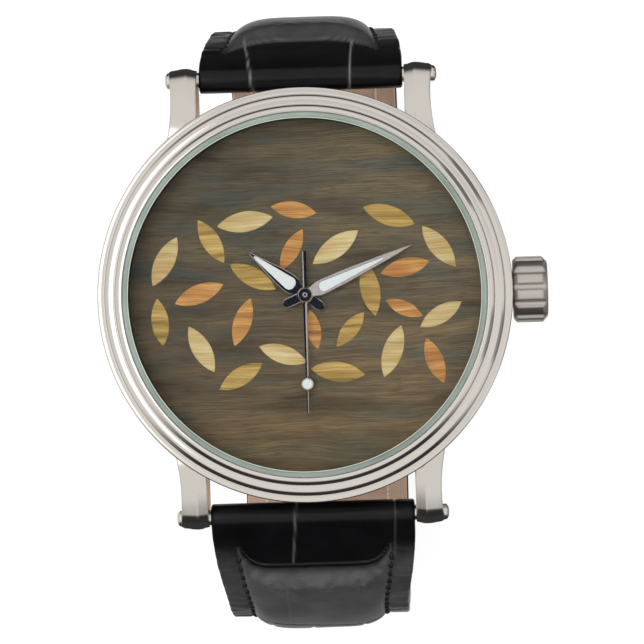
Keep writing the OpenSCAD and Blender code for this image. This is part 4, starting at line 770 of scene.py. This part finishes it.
def travel(place, turn, length):
    u, z, heading = place
    if turn == 0:
        return u + length * cos(heading), z + length * sin(heading), heading
    ahead = heading + turn * length
    u += (sin(ahead) - sin(heading)) / turn
    z += (cos(heading) - cos(ahead)) / turn
    return u, z, ahead


def placeAt(half, s):
    place = half["start"]
    for i, (length, turn) in enumerate(half["runs"]):
        step = s if i == len(half["runs"]) - 1 else min(s, length)
        place = travel(place, turn, step)
        s -= step
        if s <= 0:
            break
    return place


def strapWidth(half, s):
    full = strap["widthAtBuckle"]
    width = strap["widthAtLugs"] + (full - strap["widthAtLugs"]) * smooth((s - 1) / (strap["taper"] - 1))
    if half["side"] < 0:  # the tail's rounded point
        radius = full / 2 + 0.6
        back = sqrt(radius ** 2 - (full / 2) ** 2)
        past = s - (half["length"] - radius + back)
        if past > 0:
            width = 2 * sqrt(max(0.3, radius ** 2 - (back + past) ** 2))
    return width


def padRise(half, s, side):  # the padding's height: flat across, it starts in a bowed crease and fades
    start = pad["start"] + pad["crease"] - half["bow"] * side ** half["bowPower"]
    rise = smooth((s - start) / pad["rise"]) * (1 - smooth((s - pad["fadeFrom"]) / pad["fade"]))
    return pad["height"] * rise * (1 - side ** 5), s - start


# Joints between the pressed scales: lines along the strap as (x, first, last, slant, depth, paleness), then
# rows across it where it turns down
shortJoints = [
    (-5.5, -3.5, 5.9, -0.106, 0.09, 0.75), (4.9, -3.5, 5.9, 0.02, 0.09, 0.8),
    (5.6, 7.2, 11, -0.4, 0.06, 0.12)
]
longJoints = [
    (-2.15, -3.5, 5.7, -0.078, 0.1, 0.38), (7.75, -3.5, 5, -0.03, 0.08, 0.12),
    (-2.9, 7.4, 16.5, 0, 0.05, 0.1)
]
rowJoints = {"first": 17, "pitch": 6.3, "deep": 0.14, "columnDeep": 0.1, "columns": (-5.6, -0.4, 5.3)}


def jointAt(half, s, x):  # how deep and how pale the pressed joints are at a place
    deep, pale = 0, 0
    for middle, first, last, slant, depth, paleness in half["joints"]:
        off = x - middle - slant * (s - 5)
        if abs(off) < 0.6 and first < s < last:
            ends = smooth((last - s) / 0.5)
            deep = max(deep, depth * bell(off, 0.15) * ends)
            pale = max(pale, paleness * bell(off, 0.09) * ends)
    past, pitch = s - rowJoints["first"], rowJoints["pitch"]
    if past > -1:
        row = round(past / pitch)
        bow = 0.5 * sin(x * 0.42 + row * 1.9)
        deep = max(deep, rowJoints["deep"] * bell(past - row * pitch - bow, 0.2))
        band = (past - bow) // pitch
        for column in rowJoints["columns"]:
            off = x - column - 1.1 * sin(band * 2.4 + column)
            deep = max(deep, rowJoints["columnDeep"] * bell(off, 0.17) * smooth((past + 1) / 2))
    return deep, pale


# Relief of the sewn leather: the crease before the padding, the seam, its wrinkles and waves, and slow swells
relief = {"crease": 0.24, "seam": 0.2, "wrinkle": 0.13, "wave": 0.16, "swell": 0.05}


def leatherTop(half, s, x, width):
    # height of the leather's face over the strap's path, how much of it is pillow, with its painted sheen,
    # and how pale it is from worn joints and the painted lip highlight
    reach = max(width / 2 - strap["stitchIn"], 0.5)
    side = min(1, abs(x) / reach)
    outside = abs(x) - reach
    rise, past = padRise(half, s, side)
    height = strap["leather"] + rise
    sewn = smooth((s - half["sewnFrom"]) / 0.6)
    # the pillow's share, and with it the painted sheen, is scaled for each half: the short half is painted
    # darker
    onPad = half["worn"] * (0.8 * smooth((s - half["sewnFrom"]) / 4) if outside > 0 else smooth(past / 0.8))
    seed = half["seed"]
    if s > -0.5:
        height -= relief["crease"] * bell(past + 0.1, 0.34) * (1 - smooth((side - 0.97) / 0.03))
        height -= relief["seam"] * bell(outside - 0.02, 0.27) * sewn
        # crumpled start of the pillow, and slack wrinkles along the sewn edges
        crumple = noise.noise(Vector((x * 1.1, s * 1.9 + 0.4 * abs(x), seed)))
        height += half["crumple"] * crumple * bell(past - 1.2, 1)
        if outside > 0:
            fold = noise.noise(Vector((s * 0.62, x * 0.22, seed + 5)))
            slack = relief["wave"] * fold - relief["wrinkle"] * max(0, 1 - abs(fold) * 3.5)
            height += slack * smooth(outside / 0.5) * sewn
        height += relief["swell"] * noise.noise(Vector((x * 0.22, s * 0.2, seed + 9))) * smooth(s / 3)
    deep, pale = jointAt(half, s, x)
    # painted highlight: a thin pale line along the raised lip of the crease
    if -1.2 < past < 8:
        pale = max(pale, half["lipPale"] * bell(past - half["lipAt"], 0.12) * (1 - side ** 9))
    edge, turn = width / 2 - abs(x), strap["edgeRound"]
    if edge < turn:
        height -= turn - sqrt(max(0, turn ** 2 - (turn - edge) ** 2))
    return height - deep, onPad, pale


def spot(half, place, x, lift):  # a point over the path, in the row frame
    u, z, heading = place
    return (x, half["side"] * (u - lift * sin(heading)), z + lift * cos(heading))


def leatherColumns(half):  # even columns, closer at the edges, with some on each joint line
    base = [sin(pi / 2 * (i / 46)) if abs(i) > 38 else i / 46 * 1.028 for i in range(-46, 47)]
    base = [max(-1, min(1, f)) for f in base]
    for middle, *rest in half["joints"]:
        base += [(middle + step) / strap["widthAtLugs"] * 2 for step in (-0.2, -0.1, 0, 0.1, 0.2)]
    base = sorted(base + [-1, 1])
    kept = [base[0]]
    for f in base[1:]:
        if f - kept[-1] > 0.004:
            kept.append(f)
    kept[-1] = 1
    return kept


# A station is a place on the path, its distance along it and, in a loop, the radius of the bar's bore
def loopStations(half, middle, atEnd):
    bore = strap["endBore" if atEnd else "bore"]
    first, last = strap["buckleLoop" if atEnd else "barLoop"]
    stations = []
    count = 26
    for i in range(count):
        a = radians(first + (last - first) * i / count)
        far = strap["loop"] * abs(radians(first if atEnd else last) - a)
        place = (middle[0], middle[1], middle[2] + a - pi / 2)
        stations.append((place, half["length"] + far if atEnd else -far, bore))
    return stations


def bandStations(half, first, last, pitch):
    count = max(2, round((last - first) / pitch))
    distances = [first + (last - first) * i / count for i in range(count + 1)]
    return [(placeAt(half, s), s, 0) for s in distances]


def addLeather(bm, half, stations, columns, pads, pales):
    # cross-sections of the embossed face and the plain back, each point with its pillow share, which carries
    # the painted sheen, and its paleness from worn joints and the painted lip highlight
    rings = []
    for place, s, bore in stations:
        over, back = [], []
        width = strapWidth(half, max(0, min(s, half["length"])))
        ends = [(s, strap["bore"])]
        if half["side"] > 0:
            ends.append((half["length"] - s, strap["endBore"]))
        for f in columns:
            x = f * width / 2
            height, onPad, pale = leatherTop(half, s, x, width)
            low = bore or strap["layerGap"]
            if bore:
                height += strap["loop"] - strap["leather"]
            else:
                for gap, hole in ends:
                    fade = gap / strap["loopFade"]
                    if 0 <= fade < 1:  # the band thins as it runs out of the loop round its bar
                        height += (strap["loop"] - strap["leather"]) * (1 - smooth(fade))
                        low = max(low, sqrt(max(0, hole ** 2 - gap ** 2)))
            over.append(spot(half, place, x, height))
            back.append((x, low))
            pads.append(onPad)
            pales.append(pale)
        limit = width / 2 - 0.02
        back = back[::-1][::12] + [back[0]]
        under = [spot(half, place, max(-limit, min(limit, x)), low) for x, low in back]
        rings.append(over + under)
        pads += [0] * len(under)
        pales += [0] * len(under)
    addRings(rings, bm)


def makeLeather(half):
    bm = bmesh.new()
    pads, pales = [], []
    columns = leatherColumns(half)
    fine, last = strap["finePart"], half["length"] - half["leatherStop"]
    band = bandStations(half, *fine) + bandStations(half, fine[1], last, strap["coarsePitch"])[1:]
    addLeather(bm, half, loopStations(half, half["start"], False) + band, columns, pads, pales)
    if half["side"] > 0:  # the loop round the buckle's bar has a gap for the tongue
        end = placeAt(half, half["length"])
        tongue = strap["tongueGap"] / (strap["widthAtBuckle"] / 2)
        across = bandStations(half, last, half["length"], 0.2)[:-1]
        across += loopStations(half, end, True)
        right = [tongue] + [f for f in columns if f > tongue + 0.01]
        for sideColumns in (right, [-f for f in reversed(right)]):
            addLeather(bm, half, across, sideColumns, pads, pales)
    layers = [bm.verts.layers.float.new("pillowAndSheen"), bm.verts.layers.float.new("joint")]
    for vert, pad, pale in zip(bm.verts, pads, pales):
        vert[layers[0]], vert[layers[1]] = pad, pale
    body = half["body"]
    nodes = [body + part for part in ("_root", "_outer", "_end")]
    return makePiece(half["name"] + "StrapLeather", bm, body, "strap_leather", nodes, angle=50)


def makeLining(half):
    rings = []
    edge = [(1, 0.25), (0.985, 0.06), (0.95, 0), (0.5, 0)]
    across = [(-f, drop) for f, drop in edge] + [(0, 0)] + edge[::-1]
    for place, s, bore in bandStations(half, 1.45, half["length"] - half["liningStop"], 0.6):
        reach = (strapWidth(half, s + 0.3) - 0.3) / 2
        ring = []
        for f, drop in across:
            swell = 0.02 * noise.noise(Vector((f * 3, s * 0.3, 3)))
            ring.append(spot(half, place, f * reach, -strap["lining"] + drop + swell))
        ring += [spot(half, place, f * reach, -strap["layerGap"]) for f in (1, 0, -1)]
        rings.append(ring)
    name, body = half["name"] + "StrapLining", half["body"]
    return makePiece(name, addRings(rings), body, "lining_leather", [body + "_lining"], angle=40)


def makePadding(half):
    # the felt under the leather: a low crowned pad, thick near the lugs
    rings = []
    gap = strap["layerGap"]
    for place, s, bore in bandStations(half, *pad["felt"]):
        reach = strapWidth(half, s) / 2 - strap["stitchIn"]
        crown, flat = [], []
        for i in range(-8, 9):
            f = 0.8 * sin(pi / 2 * i / 8)
            rise, past = padRise(half, s, abs(f))
            top = rise - 2.5 * gap - 0.1 * abs(f)
            crown.append(spot(half, place, f * reach, max(gap + 0.02, top)))
            flat.append(spot(half, place, f * reach, gap))
        rings.append(crown + flat[::-1])
    name, body = half["name"] + "StrapPadding", half["body"]
    piece = makePiece(name, addRings(rings), body, "foam", [body + "_padding"], angle=40)


# Saddle stitches: short fat lengths of thread that dip into the leather at both ends
stitch = {
    "pitch": 1.32, "length": 1.12, "thick": 0.23, "slant": 10, "sides": 8, "rings": 7,
    "backLength": 1.36, "backThick": 0.15
}


def addStitch(bm, half, s, x, lift, thick, length, slant):
    place = placeAt(half, s)
    rings = []
    for i in range(stitch["rings"] + 1):
        t = i / stitch["rings"] * 2 - 1
        radius = thick * sqrt(max(0, 1 - t ** 4)) + 0.02
        along = t * length / 2
        middle, dip = x + along * tan(radians(slant)), lift - 0.7 * thick * t ** 2
        here = travel(place, 0, along)
        rings.append([
            spot(half, here, middle + radius * cos(a), dip + radius * sin(a))
            for a in roundAngles(stitch["sides"])
        ])
    addRings(rings, bm)


def makeStitching(half):
    face, back = bmesh.new(), bmesh.new()
    last = half["length"] - half["stitchStop"]
    count = int((last - half["firstStitch"]) / stitch["pitch"])
    for side in (-1, 1):
        for i in range(count + 1):
            s = half["firstStitch"] + i * stitch["pitch"]
            width = strapWidth(half, s)
            x = side * max(0, width / 2 - strap["stitchIn"] + 0.02)
            top = leatherTop(half, s, x, width)[0]
            wobble = noise.noise(Vector((s * 3.1, side * 5, half["side"])))
            slant = side * stitch["slant"] + 8 * wobble
            addStitch(face, half, s, x + 0.05 * wobble, top + 0.06, stitch["thick"], stitch["length"], slant)
            addStitch(back, half, s, x, -strap["lining"] - 0.02, stitch["backThick"], stitch["backLength"], 0)
    name, body = half["name"], half["body"]
    makePiece(name + "StrapStitching", face, body, "strap_leather", materials=[blackThread])
    makePiece(name + "LiningStitching", back, body, "lining_leather", materials=[tanThread])


def punch(piece, half):  # holes and the tongue's slot, cut square to the strap
    bm = bmesh.new()
    cuts = [(half["slot"] + i * strap["holePitch"], 0) for i in (-1, 1, 2, 3, 4)]
    cuts.append((half["slot"], strap["slotLength"] / 2 - strap["hole"]))
    for s, stretch in cuts:
        place = placeAt(half, s)
        rings = []
        for lift in (-3, 3):
            ring = []
            for a in roundAngles(40):
                along = strap["hole"] * cos(a) + copysign(stretch, cos(a))
                ring.append(spot(half, travel(place, 0, along), strap["hole"] * sin(a), lift))
            rings.append(ring)
        addRings(rings, bm)
    cutter = addObject("punch", meshFrom("punch", bm))
    cut = piece.modifiers.new("holes", "BOOLEAN")
    cut.object, cut.operation, cut.solver = cutter, "DIFFERENCE", "EXACT"
    bpy.context.view_layer.objects.active = piece
    with bpy.context.temp_override(object=piece, active_object=piece, selected_objects=[piece]):
        bpy.ops.object.modifier_apply(modifier=cut.name)
    bpy.data.objects.remove(cutter)


# Keepers: leather bands bent round both layers of the strap
keeper = {
    "width": 3.8, "thick": 1.6, "roof": 1.2, "corner": 0.8, "innerCorner": 0.2, "fixedY": 3.2, "freeY": 8.7,
    "strapWidth": 18, "sideGap": 0.35, "turns": 10
}


def makeKeeper(name, y, roof, body, node):
    inX = keeper["strapWidth"] / 2 + keeper["sideGap"]
    inLow = longFloor - strap["leather"] - strap["softGap"]
    thick = keeper["thick"]
    bands = (
        (inX + thick, roof + keeper["roof"], inLow - thick, keeper["corner"]),
        (inX, roof, inLow, keeper["innerCorner"])
    )
    rings = []
    for quarter in range(4):  # the corners, from the lower right round to the lower left
        side, high = (1 if quarter in (0, 1) else -1), quarter in (1, 2)
        for k in range(keeper["turns"] + 1):
            a = radians(-90 + 90 * quarter + 90 * k / keeper["turns"])
            outer, inner = [
                ((x - r) * side + r * cos(a), (top - r if high else low + r) + r * sin(a))
                for x, top, low, r in bands
            ]
            ring = []
            for f in (i / 6 for i in range(-6, 7)):
                sink = 0.2 * abs(f) ** 5 + 0.05 * f * f + 0.05 * bell(abs(f) - 0.72, 0.05)
                x, z = (o + (n - o) * sink for o, n in zip(outer, inner))
                ring.append((x, y + f * (keeper["width"] / 2), z))
            ring += [(inner[0], y + f * (keeper["width"] / 2 - 0.05), inner[1]) for f in (1, 0.5, -0.5, -1)]
            rings.append(ring)
    makePiece(name, addRings(rings, closed=True), body, "strap_leather", [node], angle=50)


flat12, flat6 = strap["wideAtTwelve"] - strap["floorBend"], strap["wideAtSix"] - strap["floorBend"]
tailBend = strap["floorBend"] + layerStep
tailRuns = [(flat6 + flat12, 0), (tailBend * pi, -1 / tailBend)]
# the short half's padding is painted darker (0.6) than the long half's (1), for the less light on it
shortHalf = strapHalf(
    "short", 1, strap["wideAtTwelve"], strap["floor"], [(flat12 - strap["buckleY"], 0)],
    joints=shortJoints, bow=3, bowPower=3, crumple=0.17, lipPale=0.28, lipAt=0.35, worn=0.6, sewnFrom=3.3,
    firstStitch=3.7, leatherStop=1.9, liningStop=2, stitchStop=2.6, seed=11
)
longHalf = strapHalf(
    "long", -1, strap["wideAtSix"], longFloor, tailRuns,
    joints=longJoints, bow=3.6, bowPower=9, crumple=0.3, lipPale=0.4, lipAt=-0.55, worn=1, sewnFrom=2.2,
    firstStitch=4.9, leatherStop=0.05, liningStop=0.9, stitchStop=3.4, seed=47
)
shortHalf["length"] = sum(length for length, turn in shortHalf["runs"])
toFlat = sum(length for length, turn in longHalf["runs"][:3])
longHalf["slot"] = toFlat + flat6 + strap["buckleY"] - strap["slotPast"]
longHalf["length"] = longHalf["slot"] + strap["tail"]
for makeLayer in (makeLeather, makeLining):
    makeLayer(shortHalf)
    punch(makeLayer(longHalf), longHalf)
print("leather and lining are made")
for half in (shortHalf, longHalf):
    makePadding(half)
    makeStitching(half)
liningTop = strap["floor"] + strap["lining"]
makeKeeper("fixedKeeper", keeper["fixedY"], liningTop, "short_strap", "fixed_keeper")
makeKeeper("freeKeeper", keeper["freeY"], liningTop + strap["softGap"], "loose_keeper", "free_keeper")
print("padding, stitching and keepers are made")
